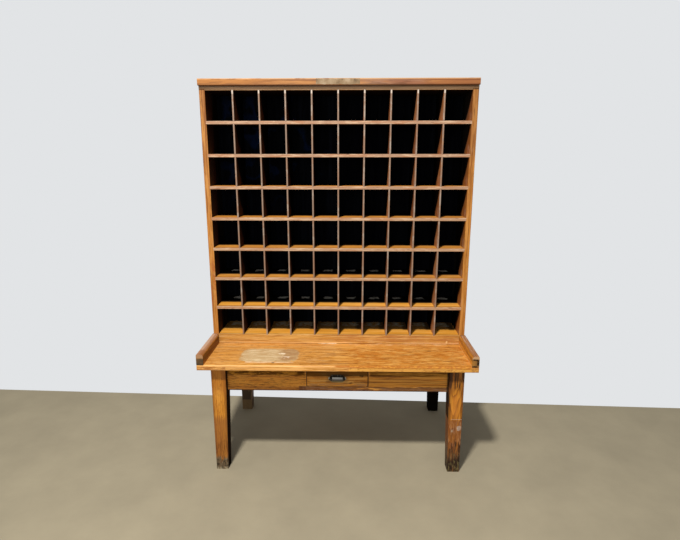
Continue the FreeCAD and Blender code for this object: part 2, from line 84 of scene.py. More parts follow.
def linear(colour):
    """An sRGB hex colour as linear red, green and blue. A colour from the panel is linear already."""
    if not isinstance(colour, str):
        return colour
    channels = [int(colour[i:i + 2], 16) / 255 for i in (1, 3, 5)]
    return [c / 12.92 if c <= 0.04045 else ((c + 0.055) / 1.055) ** 2.4 for c in channels]


def colour_property(name, description, hex_colour):
    """A colour that the panel shows, with its default given as sRGB hex."""
    return bpy.props.FloatVectorProperty(name=name, description=description, subtype="COLOR",
                                         size=3, min=0.0, max=1.0, default=linear(hex_colour))


def length_property(name, description, millimetres):
    """A length that the panel shows in the scene's unit."""
    return bpy.props.FloatProperty(name=name, description=description, default=millimetres * MM,
                                   min=0.0, unit="LENGTH")


# ---------------------------------------------------------------- settings
class SorterFinishSettings(bpy.types.PropertyGroup):
    """Colours of the wood, paper and metal finishes."""

    top_pale: colour_property("Deck, pale", "Latewood of the varnished table top", "#dc9f4f")
    top_mid: colour_property("Deck, middle", "Body colour of the varnished table top", "#c68434")
    top_dark: colour_property("Deck, dark", "Open pores and ring lines of the table top", "#733d0d")
    bleached: colour_property("Bleached patch", "Bare wood where water took the varnish off", "#b79668")
    apron_pale: colour_property("Apron, pale", "Latewood of the aprons", "#e89d39")
    apron_mid: colour_property("Apron, middle", "Body colour of the aprons", "#c27920")
    apron_dark: colour_property("Apron, dark", "Ring lines of the aprons", "#4e2605")
    leg_pale: colour_property("Leg, pale", "Latewood of the legs", "#cf8d31")
    leg_mid: colour_property("Leg, middle", "Body colour of the legs", "#bb741d")
    leg_dark: colour_property("Leg, dark", "Ring lines of the legs", "#5e3009")
    case_pale: colour_property("Case, pale", "Latewood of the case sides", "#be7f38")
    case_mid: colour_property("Case, middle", "Body colour of the case sides", "#a56520")
    case_dark: colour_property("Case, dark", "Ring lines of the case sides", "#63320b")
    floor_mid: colour_property("Pigeonhole floor", "Varnished upper face of a shelf", "#d9922c")
    edge_pale: colour_property("Rubbed edge", "Front edges worn down to pinkish bare oak", "#a88669")
    # Also painted shade: the near-black of the pigeonholes' depths and undersides, the table's underside and
    # the legs' unlit faces
    soil_and_painted_shade: colour_property("Soiled wood", "Handled and dusty wood deep in the pigeonholes", "#090604")
    dust: colour_property("Dust", "Grey dust at the back of the pigeonholes", "#77705f")
    grime: colour_property("Grime", "Floor dirt on the feet and in corners", "#2f261c")
    paper: colour_property("Label paper", "Aged bare paper", "#7b6345")
    steel: colour_property("Pull steel", "Rubbed steel of the drawer pull", "#8f8c86")


class SorterWearSettings(bpy.types.PropertyGroup):
    """Sizes of the worn places, and where the painted shadow starts on the pigeonhole floors."""

    edge_rub: length_property("Edge rub", "Depth of the rubbed band on the front edges", 2.6)
    # Where the painted shadow of the shelf above, with dirt, starts on the pigeonhole floors
    painted_shadow_depth: length_property("Clean floor depth", "Where the pigeonhole floors start to darken", 92)
    foot_dirt: length_property("Foot dirt", "Height of the dirty band on the legs", 70)
    patch_width: length_property("Bleached patch width", "Length of the pale patch on the deck", 307)
    patch_depth: length_property("Bleached patch depth", "Depth of the pale patch on the deck", 174)


class SorterPullSettings(bpy.types.PropertyGroup):
    """Sizes of the pressed drawer pull."""

    flat: length_property("Straight edge", "Length of the straight top and bottom edges", 52)
    tip: length_property("Tip", "Height of the blunt pointed ends", 10)
    corner: length_property("Corner", "Radius of the plate's corners", 2.5)
    mouth_width: length_property("Mouth width", "Width of the opening for the fingers", 62)
    mouth_height: length_property("Mouth height", "Height of the opening for the fingers", 27)
    mouth_corner: length_property("Mouth corner", "Radius of the opening's corners", 8)
    bead: length_property("Bead", "Width of the rolled bead round the opening", 3)
    stand: length_property("Stand", "How far the bead stands out of the plate", 0.9)
    cup_depth: length_property("Cup depth", "Depth of the cup behind the plate", 12.4)
    lip: length_property("Lip", "How far the cup reaches up behind the plate", 3.2)
    sheet: length_property("Sheet", "Thickness of the pressed steel", 0.7)


class SorterStageSettings(bpy.types.PropertyGroup):
    """Lights, floor and camera."""

    lamp_power: bpy.props.FloatProperty(name="Lamp", description="Power of the high lamp", default=265.0,
                                        min=0.0, unit="POWER")
    fill_power: bpy.props.FloatProperty(name="Fill", description="Power of the wide soft light", default=60.0,
                                        min=0.0, unit="POWER")
    room_light: bpy.props.FloatProperty(name="Room light", description="Strength of the light from all round",
                                        default=0.3, min=0.0)
    floor_colour: colour_property("Floor", "Plain pale floor", "#9c9076")
    backdrop_colour: colour_property("Backdrop", "What shows behind the object", "#e2e4e6")
    lens: bpy.props.FloatProperty(name="Lens", description="Focal length of the camera", default=25.52,
                                  min=1.0, unit="CAMERA")


SETTINGS = {
    "sorter_finish": SorterFinishSettings,
    "sorter_wear": SorterWearSettings,
    "sorter_pull": SorterPullSettings,
    "sorter_stage": SorterStageSettings,
}


# ---------------------------------------------------------------- materials
def feed(node, inputs):
    """Sets a node's inputs, in order or by name. Each is a value or another node's output."""
    for key, value in inputs.items() if isinstance(inputs, dict) else enumerate(inputs):
        if isinstance(value, bpy.types.NodeSocket):
            node.id_data.links.new(value, node.inputs[key])
        else:
            node.inputs[key].default_value = value


def add(tree, kind, inputs=(), out=0, stops=(), **settings):
    """Adds a shader node with its inputs, the stops of its colour ramp and its settings. Gives one of
    its outputs."""
    node = tree.nodes.new("ShaderNode" + kind)
    for name, value in settings.items():
        setattr(node, name, value)
    feed(node, inputs)
    if stops:
        elements = node.color_ramp.elements
        while len(elements) < len(stops):
            elements.new(0.5)
        for element, (position, colour) in zip(elements, stops):
            element.position = position
            element.color = (*linear(colour), 1.0)
    return node.outputs[out] if node.outputs else None


def new_material(name):
    """An empty material and the shader at its end."""
    material = bpy.data.materials.new(name)
    material.use_nodes = True
    tree = material.node_tree
    tree.nodes.clear()
    surface = add(tree, "BsdfPrincipled")
    add(tree, "OutputMaterial", {"Surface": surface})
    return material, tree, surface.node


STREAK_EDGE = 0.05  # how far a streak's edge fades, on the scale of its noise


def mark(colour, amount, x=None, y=None, z=None, soft=3.0, radius=0.0, ragged=0.0, ragged_size=40.0,
         streaks=None, roughness=None, repeat=(None, None, None)):
    """A stained or worn place, in millimetres: where it is, how soft, rounded and ragged its outline is,
    and the streaks that break it up, as their size along and across the grain and the share that they
    cover. A limit that lies outside the object leaves that side open. Repeat gives, for each axis, the
    two ends of the stretch that comes back again and again."""
    return {"colour": (*linear(colour), 1.0), "amount": amount, "limits": (x, y, z), "soft": soft,
            "radius": radius, "ragged": ragged, "ragged_size": ragged_size, "streaks": streaks,
            "roughness": roughness, "repeat": repeat}


def mark_mask(tree, place, board, spot):
    """How strongly a mark shows at each point, from 0 to its amount."""
    # Noise tears the outline by up to the ragged length
    if spot["ragged"]:
        torn = add(tree, "TexNoise", {"Vector": place, "Scale": 1 / (spot["ragged_size"] * MM),
                                      "Detail": 3.0}, "Color")
        centred = add(tree, "VectorMath", (torn, (0.5, 0.5, 0.5)), operation="SUBTRACT")
        reach = 2 * spot["ragged"] * MM
        place = add(tree, "VectorMath", (centred, (reach, reach, reach), place), operation="MULTIPLY_ADD")
    if any(spot["repeat"]):
        ends = [[value * MM for value in stretch or (-FAR, FAR)] for stretch in spot["repeat"]]
        place = add(tree, "VectorMath", (place, [end[1] for end in ends], [end[0] for end in ends]),
                    operation="WRAP")

    # Distance from a box with rounded edges. A side that is thinner than its corners is stretched.
    corner = max(spot["radius"], spot["soft"])
    spans = [limits or (-FAR, FAR) for limits in spot["limits"]]
    middle = [(low + high) / 2 * MM for low, high in spans]
    scale = [max(1.0, 2 * corner / (high - low)) for low, high in spans]
    flat = [(corner - (high - low) / 2 * more) * MM for (low, high), more in zip(spans, scale)]
    away = add(tree, "VectorMath", (place, middle), operation="SUBTRACT")
    away = add(tree, "VectorMath", (away,), operation="ABSOLUTE")
    away = add(tree, "VectorMath", (away, scale, flat), operation="MULTIPLY_ADD")
    away = add(tree, "VectorMath", (away, (0, 0, 0)), operation="MAXIMUM")
    away = add(tree, "VectorMath", (away,), "Value", operation="LENGTH")
    mask = add(tree, "MapRange", {"Value": away, "From Min": (corner + spot["soft"]) * MM,
                                  "From Max": (corner - spot["soft"]) * MM, "To Max": spot["amount"]},
               interpolation_type="SMOOTHSTEP")
    if spot["streaks"]:
        length, width, cover = spot["streaks"]
        along, across = 1 / (length * MM), 1 / (width * MM)
        stretched = add(tree, "Mapping", {"Vector": board, "Scale": (along, across, across)})
        cloud = add(tree, "TexNoise", {"Vector": stretched, "Scale": 1.0, "Detail": 5.0, "Roughness": 0.65})
        # Nearly all of the noise lies within 0.2 of its middle, so the cover moves the level by that
        level = 0.5 + (0.5 - cover) * 0.4
        broken = add(tree, "MapRange", {"Value": cloud, "From Min": level - STREAK_EDGE,
                                        "From Max": level + STREAK_EDGE}, interpolation_type="SMOOTHSTEP")
        mask = add(tree, "Math", (mask, broken), operation="MULTIPLY")
    return mask


# For boards that run along each axis: the axes along the grain and across it
ALONG = {"X": ("X", "Y", "Z"), "Y": ("Y", "Z", "X"), "Z": ("Z", "X", "Y")}


def wood(name, along, shades, ring=8.0, pith=(0.0, -60.0), tilt=(0.0, 0.0), boards=(0, 0, 0),
         first=(0, 0, 0), wander=10.0, wave=(2.2, 9.0), figure=0.45, fibre=0.7, pores=0.35, tone=0.5,
         board_tone=0.3, roughness=(0.36, 0.58), shine=0.3, relief=0.25, marks=()):
    """Sawn oak or softwood under varnish. The growth rings are cylinders round the pith of the log that
    the board was cut from, so faces show long figure and ends show arcs. Lengths are in millimetres.
    Real rings are 2 to 4 mm wide and pores 0.3 mm; both are drawn coarser so that they show. Tilt leans
    the log by so many degrees, wander is how far its rings bend and wave how often in a metre. Where the
    finish covers several boards, boards is their pitch along each axis and first is where one begins."""
    material, tree, shader = new_material(name)
    source = add(tree, "TexCoord").node.outputs
    place = source["Object"]

    # Each board has its own shade and its own piece of the log, up to 3 m along and 30 mm across
    local = place
    chance = None
    if any(boards):
        origin = [value * MM for value in first]
        pitch = [value * MM for value in boards]
        shifted = add(tree, "VectorMath", (place, origin), operation="SUBTRACT")
        corner = add(tree, "VectorMath", (shifted, pitch), operation="SNAP")
        chance = add(tree, "TexWhiteNoise", {"Vector": corner}).node.outputs
        local = add(tree, "VectorMath", (shifted, corner), operation="SUBTRACT")
    axes = add(tree, "SeparateXYZ", (local,)).node.outputs
    board = add(tree, "CombineXYZ", [axes[axis] for axis in ALONG[along]])
    if chance:
        board = add(tree, "VectorMath", (chance["Color"], (3.0, 0.03, 0.03), board),
                    operation="MULTIPLY_ADD")

    # Growth rings, bent slowly along the log. Each starts with open pores and ends in dense wood.
    log = add(tree, "Mapping", {"Vector": board, "Location": (0, pith[0] * MM, pith[1] * MM),
                                "Rotation": (0, math.radians(tilt[0]), math.radians(tilt[1]))},
              vector_type="TEXTURE")
    slow = add(tree, "Mapping", {"Vector": log, "Scale": (wave[0], wave[1], wave[1])})
    bend = add(tree, "TexNoise", {"Vector": slow, "Scale": 1.0, "Detail": 3.0}, "Color")
    bent = add(tree, "VectorMath", (bend, (0, wander * 2 * MM, wander * 2 * MM), log),
               operation="MULTIPLY_ADD")
    rings = add(tree, "TexWave", {"Vector": bent, "Scale": math.pi / (10 * ring * MM), "Distortion": 0.0},
                "Fac", wave_type="RINGS", rings_direction="X", wave_profile="SAW")
    across_ring = ((0.0, 1), (0.12, 0.7), (0.45, 0.18), (0.85, 0), (1.0, 0.25))
    porous = add(tree, "ValToRGB", (rings,),
                 stops=[(position, (grey, grey, grey)) for position, grey in across_ring])

    # Fibres, slow changes of tone and pores, each as so many to a metre along and across the board
    fibres, tones, pore = (
        add(tree, "TexNoise", {
            "Vector": add(tree, "Mapping", {"Vector": board, "Scale": (lengthwise, across, across)}),
            "Scale": 1.0, "Detail": detail, "Roughness": coarse})
        for lengthwise, across, detail, coarse in ((5, 130, 5.0, 0.68), (2, 30, 3.0, 0.5),
                                                   (26, 520, 2.0, 0.5)))
    pore = add(tree, "MapRange", {"Value": pore, "From Min": 0.52, "From Max": 0.66})
    pore = add(tree, "Math", (pore, porous), operation="MULTIPLY")

    # Darkness, from 0 for clean latewood to 1 for an open ring line. Plain wood lies at 0.22.
    dark = add(tree, "Math", (porous, figure), operation="MULTIPLY")
    parts = [(fibres, fibre * 2, 0.5), (tones, tone * 2, 0.5), (pore, pores, 0.0)]
    if chance:
        parts.append((chance["Value"], board_tone * 2, 0.5))
    for value, strength, centre in parts:
        away = add(tree, "Math", (value, centre), operation="SUBTRACT")
        dark = add(tree, "Math", (away, strength, dark), operation="MULTIPLY_ADD")
    dark = add(tree, "Math", (dark, 0.22), operation="ADD")

    # End grain drinks more varnish and turns darker
    facing = add(tree, "SeparateXYZ", (source["Normal"],), ALONG[along][0])
    facing = add(tree, "Math", (facing,), operation="ABSOLUTE")
    end = add(tree, "MapRange", {"Value": facing, "From Min": 0.75, "From Max": 0.98, "To Max": 0.42})
    dark = add(tree, "Math", (dark, end), operation="ADD", use_clamp=True)
    colour = add(tree, "ValToRGB", (dark,), stops=list(zip((0.0, 0.38, 1.0), shades)))

    # Marks go over each other in order. A Mix node's inputs 6 and 7 are colours, and 2 and 3 values.
    low, high = roughness
    rough = add(tree, "MapRange", {"Value": tones, "From Min": 0.3, "From Max": 0.7,
                                   "To Min": low, "To Max": high})
    for spot in marks:
        mask = mark_mask(tree, place, board, spot)
        colour = add(tree, "Mix", {0: mask, 6: colour, 7: spot["colour"]}, 2, data_type="RGBA")
        if spot["roughness"] is not None:
            rough = add(tree, "Mix", {0: mask, 2: rough, 3: spot["roughness"]})

    height = add(tree, "Math", (pore, -0.6, fibres), operation="MULTIPLY_ADD")
    height = add(tree, "Math", (porous, -0.35, height), operation="MULTIPLY_ADD")
    bump = add(tree, "Bump", {"Height": height, "Strength": relief, "Distance": 0.8 * MM})
    # Varnish shines, while the dirtiest places have no sheen left
    sheen = add(tree, "MapRange", {"Value": rough, "From Min": 0.7, "From Max": 1.0,
                                   "To Min": shine, "To Max": 0.02})
    feed(shader, {"Base Color": colour, "Roughness": rough, "Normal": bump, "Specular IOR Level": sheen})
    return material


def steel(name, bare, tarnish, clean, marks=()):
    """Steel: grey and satin where it is rubbed, brown-black with old oil elsewhere."""
    material, tree, shader = new_material(name)
    place = add(tree, "TexCoord", out="Object")
    cloud = add(tree, "TexNoise", {"Vector": place, "Scale": 1 / (9 * MM), "Detail": 6.0, "Roughness": 0.62})
    dull = add(tree, "MapRange", {"Value": cloud, "From Min": clean - 0.14, "From Max": clean + 0.1})
    drawn = add(tree, "Mapping", {"Vector": place, "Scale": (60, 60, 1600)})
    lines = add(tree, "TexNoise", {"Vector": drawn, "Scale": 1.0, "Detail": 3.0})
    colour = add(tree, "Mix", {0: dull, 6: (*linear(bare), 1.0), 7: (*linear(tarnish), 1.0)}, 2,
                 data_type="RGBA")
    rough = add(tree, "MapRange", {"Value": dull, "To Min": 0.34, "To Max": 0.62})
    for spot in marks:
        mask = mark_mask(tree, place, place, spot)
        colour = add(tree, "Mix", {0: mask, 6: colour, 7: spot["colour"]}, 2, data_type="RGBA")
    bump = add(tree, "Bump", {"Height": lines, "Strength": 0.12, "Distance": 0.2 * MM})
    feed(shader, {"Base Color": colour, "Roughness": rough, "Normal": bump, "Metallic": 0.6})
    return material


# ---------------------------------------------------------------- meshes
def rounded_loop(form, quarter, middle, radius):
    """A loop of edges with rounded corners, mirrored from the corners of its upper right quarter."""
    right = quarter + [(x, -z) for x, z in reversed(quarter)]
    around = right + [(-x, z) for x, z in reversed(right)]
    verts = [form.verts.new(middle + Vector((x, 0, z))) for x, z in around]
    form.faces.new(verts)
    bmesh.ops.bevel(form, geom=verts, offset=radius, segments=6, profile=0.5, affect="VERTICES", material=-1)
    edges = [edge for face in form.faces for edge in face.edges]
    bmesh.ops.delete(form, geom=form.faces[:], context="FACES_ONLY")
    return edges


def ring_drawn(form, edges, place):
    """Draws a ring of edges out to a new one, whose vertices a function places."""
    drawn = bmesh.ops.extrude_edge_only(form, edges=edges)["geom"]
    verts = {item for item in drawn if isinstance(item, bmesh.types.BMVert)}
    for vert in verts:
        vert.co = place(vert.co)
    return [item for item in drawn if isinstance(item, bmesh.types.BMEdge) and verts.issuperset(item.verts)]


def make_piece(form, name, body, slot, *replaced):
    """Turns a finished bmesh into an object that rides on a body in place of CAD nodes."""
    for face in form.faces:
        face.smooth = True
    mesh = bpy.data.meshes.new(name)
    form.to_mesh(mesh)
    form.free()
    mesh.set_sharp_from_angle(angle=math.radians(40))
    piece = bpy.data.objects.new(name, mesh)
    bpy.context.scene.collection.objects.link(piece)
    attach(piece, body)
    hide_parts(*replaced)
    return piece


def give(material, *nodes):
    """Puts a material on CAD nodes."""
    for node in nodes:
        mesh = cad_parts[node].data
        mesh.materials.clear()
        mesh.materials.append(material)


def numbered(stem, count):
    """Names of CAD nodes that are numbered from 1."""
    return ["%s_%d" % (stem, number) for number in range(1, count + 1)]


# ---------------------------------------------------------------- operators
class SorterOperator(bpy.types.Operator):
    """Base of the sorter's operators"""

    bl_options = {"REGISTER", "UNDO"}


class SORTER_OT_table_top(SorterOperator):
    """Varnished oak on the table top and deck rails, with the bleached patch and the rubbed nosing"""

    bl_idname = "sorter.table_top"
    bl_label = "Finish Table Top"

    def execute(self, context):
        tint = context.scene.sorter_finish
        wear = context.scene.sorter_wear
        front, top, case = DECK_FRONT, DECK_TOP, CASE_FRONT
        upper = (top - 4, top + 4)
        left, near = PATCH_CORNER
        right, far = left + wear.patch_width / MM, near + wear.patch_depth / MM
        # Water took the varnish off: a bleached patch with pale scrapes and one dark spot before it
        patch = [
            mark(tint.bleached, 0.92, x=(left, right), y=(near, far), z=upper, soft=5, radius=52, ragged=7,
                 ragged_size=26, roughness=0.75),
            mark("#9d7044", 0.75, x=(right - 112, right + 2), y=(near + 4, far + 4), z=upper, soft=16,
                 radius=60, ragged=12, streaks=(60, 10, 0.62), roughness=0.7),
            mark("#ad844f", 0.75, x=(left, right - 90), y=(near, far), z=upper, soft=8, radius=52,
                 streaks=(90, 7, 0.38)),
            mark("#d5bc91", 0.8, x=(left + 4, right - 80), y=(near + 2, far - 6), z=upper, soft=8, radius=70,
                 ragged=6, streaks=(70, 6, 0.44), roughness=0.75),
            mark("#f6e3c4", 0.9, x=(right - 112, right - 70), y=(far - 74, far - 60), z=upper, soft=5,
                 ragged=20, ragged_size=26, streaks=(40, 9, 0.62), roughness=0.75),
            mark("#f1dcc2", 0.8, x=(right - 92, right - 44), y=(near + 48, near + 76), z=upper, soft=5,
                 ragged=22, ragged_size=22, streaks=(24, 10, 0.48), roughness=0.75),
            mark("#f0cda2", 0.75, x=(left + 40, right - 20), y=(near - 10, near + 2), z=upper, soft=4,
                 ragged=5, streaks=(90, 10, 0.62)),
            mark("#4f2a0c", 0.85, x=(-333, -320), y=(-349, -338), z=upper, soft=2, ragged=3, ragged_size=12)]
        face = (front - 2, front + 1)
        # The nosing: pale and streaked on the left, amber and blotched on the right
        rubbed = [
            mark("#f0b56a", 0.65, x=(-720, 100), y=face, z=(500, top - 4), soft=2, streaks=(120, 9, 0.6)),
            mark("#8a5420", 0.6, x=(-720, 60), y=face, z=(500, top - 6), soft=2, streaks=(90, 5, 0.27)),
            mark("#d9a45c", 0.75, x=(-706, -10), y=(front - 2, front + 9), z=(top - 7, top + 1), ragged=2,
                 streaks=(120, 7, 0.72)),
            mark("#a35c12", 0.95, x=(-90, 1200), y=(front - 4, front + 14), z=(top - 14, top + 5), soft=130,
                 streaks=(240, 30, 0.9), roughness=0.8),
            mark("#cb8a2c", 0.75, x=(60, 720), y=(front - 2, front + 12), soft=4, ragged=6,
                 streaks=(16, 6, 0.46), roughness=0.7),
            mark("#e4a84e", 0.7, x=(60, 720), y=face, z=(580, top - 12), streaks=(120, 12, 0.7)),
            mark("#8a4c14", 0.6, x=(60, 720), y=(front - 2, front + 10), soft=4, ragged=6,
                 streaks=(15, 7, 0.3), roughness=0.6),
            mark("#8d4d20", 0.75, x=(-720, -560), y=face, z=(590, top - 9), ragged=5, streaks=(44, 6, 0.55)),
            mark("#a5733c", 0.75, x=(672, 720), y=(front - 2, front + 12), soft=4, ragged=5,
                 streaks=(14, 8, 0.6))]
        # Scrapes and a dark line of dirt along the foot of the case
        foot_of_case = [
            mark("#e3bd8a", 0.6, x=(60, 600), y=(-98, case), z=upper, soft=5, ragged=5, streaks=(46, 7, 0.42),
                 roughness=0.7),
            mark("#f4e6cb", 0.8, x=(-112, -10), y=(-80, case), z=upper, ragged=5, streaks=(40, 7, 0.55),
                 roughness=0.7),
            mark("#6b3c14", 0.6, x=(-672, 672), y=(case - 2.5, case + 2), soft=1, ragged=1,
                 streaks=(160, 40, 0.75))]
        # Dull and dusty behind the case, with painted shade underneath
        hidden = [
            mark("#5c3d1f", 0.6, y=(176, 400), soft=16, ragged=16, roughness=0.7),
            mark(tint.grime, 0.55, y=(176, 400), soft=16, streaks=(240, 14, 0.4), roughness=0.8),
            mark(tint.soil_and_painted_shade, 0.7, z=(500, DECK_UNDERSIDE + 1), soft=2)]
        # Streaks of wear over the open deck
        handled = [
            mark("#bf813b", 0.6, x=(-720, -60), y=(-372, -90), soft=60, streaks=(110, 11, 0.5)),
            mark("#ddb276", 0.45, x=(-720, 40), y=(-372, -60), soft=30, streaks=(110, 8, 0.36)),
            mark("#8f4f1c", 0.55, x=(-720, 20), y=(-372, -90), soft=10, streaks=(30, 9, 0.27)),
            mark("#b5620f", 0.6, x=(40, 720), y=(-372, -110), soft=80, streaks=(90, 18, 0.6)),
            mark("#e2ad60", 0.6, x=(0, 720), y=(-370, -110), soft=40, streaks=(70, 8, 0.36)),
            mark("#8c4a0e", 0.65, x=(40, 720), y=(-372, -110), soft=30, streaks=(50, 9, 0.32))]
        # Golden oak under old oil varnish: glossy where thick, dull and pale where scrubbed
        give(wood("oil_varnished_golden_oak_deck", "X", (tint.top_pale, tint.top_mid, tint.top_dark),
                  ring=7, pith=(120, -50), tilt=(0.9, 0.7), boards=(0, DECK_BOARD, 0), first=(0, front, 500),
                  wander=13, wave=(7, 34), figure=0.42, fibre=1.1, tone=0.6, board_tone=0.1, relief=0.3,
                  marks=handled + patch + rubbed + foot_of_case + hidden),
             *numbered("table_top_board", 3))
        # The same oak as rails: handled brown tops, grey split end grain in front
        above = (top + 49, top + 60)
        end = (front - 2, front + 2)
        marks = [
            # Right rail: golden inner side, rubbed along its foot, and a greyish brown top
            mark("#e09a3b", 0.75, x=(660, 684), z=(top - 2, top + 47), soft=4, streaks=(120, 14, 0.8)),
            mark("#f0c07c", 0.7, x=(660, 676), z=(top - 2, top + 5), soft=2, ragged=2, streaks=(90, 9, 0.7)),
            mark("#8f5212", 0.75, x=(660, 684), z=(top + 26, top + 46), soft=4, ragged=5,
                 streaks=(110, 9, 0.7)),
            mark("#9a6844", 0.8, x=(676, 720), z=above, soft=4, ragged=4, streaks=(80, 8, 0.8)),
            mark("#b39a85", 0.6, x=(680, 720), z=above, soft=4, ragged=6, streaks=(90, 6, 0.36)),
            mark("#4a2c18", 0.7, x=(676, 720), z=above, soft=4, streaks=(110, 5, 0.3)),
            # Left rail: pale worn top over a dark inner side
            mark("#b8957c", 0.85, x=(-720, -674), z=above, soft=4, ragged=5, streaks=(90, 8, 0.8)),
            mark("#9c6840", 0.8, x=(-688, -668), z=above, ragged=3, streaks=(80, 7, 0.8)),
            mark("#8f5528", 0.8, x=(-704, -668), y=(front - 4, front + 62), z=above, soft=12, ragged=8),
            mark("#64390f", 0.85, x=(-690, -660), z=(top + 4, top + 46), soft=6, ragged=8,
                 streaks=(90, 7, 0.76)),
            # End grain in front, with dark splits on the right and a dirty foot on the left
            mark("#91652e", 0.85, y=(front - 2, front + 1.5), soft=1),
            mark("#c39a72", 0.8, x=(600, 720), y=end, z=(top + 41, top + 70), ragged=4),
            mark("#120d06", 0.9, x=(694, 720), y=end, z=(top + 8, top + 38), soft=4, ragged=6, ragged_size=16,
                 roughness=0.9),
            mark("#170e07", 0.9, x=(668, 696), y=end, z=(top - 2, top + 7), soft=2.5, ragged=4,
                 ragged_size=16, roughness=0.9),
            mark("#170e07", 0.9, x=(674, 700), y=end, z=(top + 34, top + 42), soft=2.5, ragged=4,
                 ragged_size=16, roughness=0.9),
            mark("#403526", 0.9, x=(-720, -600), y=end, z=(top - 2, top + 34), soft=4, ragged=4,
                 roughness=0.85),
            mark("#a87e5c", 0.8, x=(-720, -600), y=end, z=(top + 36, top + 60), soft=4, ragged=4),
            # Grime where the rails meet the case
            mark(tint.grime, 0.5, y=(case - 8, case + 4), soft=6, ragged=6)]
        give(wood("oil_varnished_oak_deck_rail", "Y", (tint.leg_pale, tint.apron_mid, tint.leg_dark),
                  ring=7, pith=(-30, 15), boards=(1400, 0, 0), first=(-1400, 0, 600), wander=8,
                  figure=0.5, marks=marks),
             "deck_rail_left", "deck_rail_right")
        return {"FINISHED"}


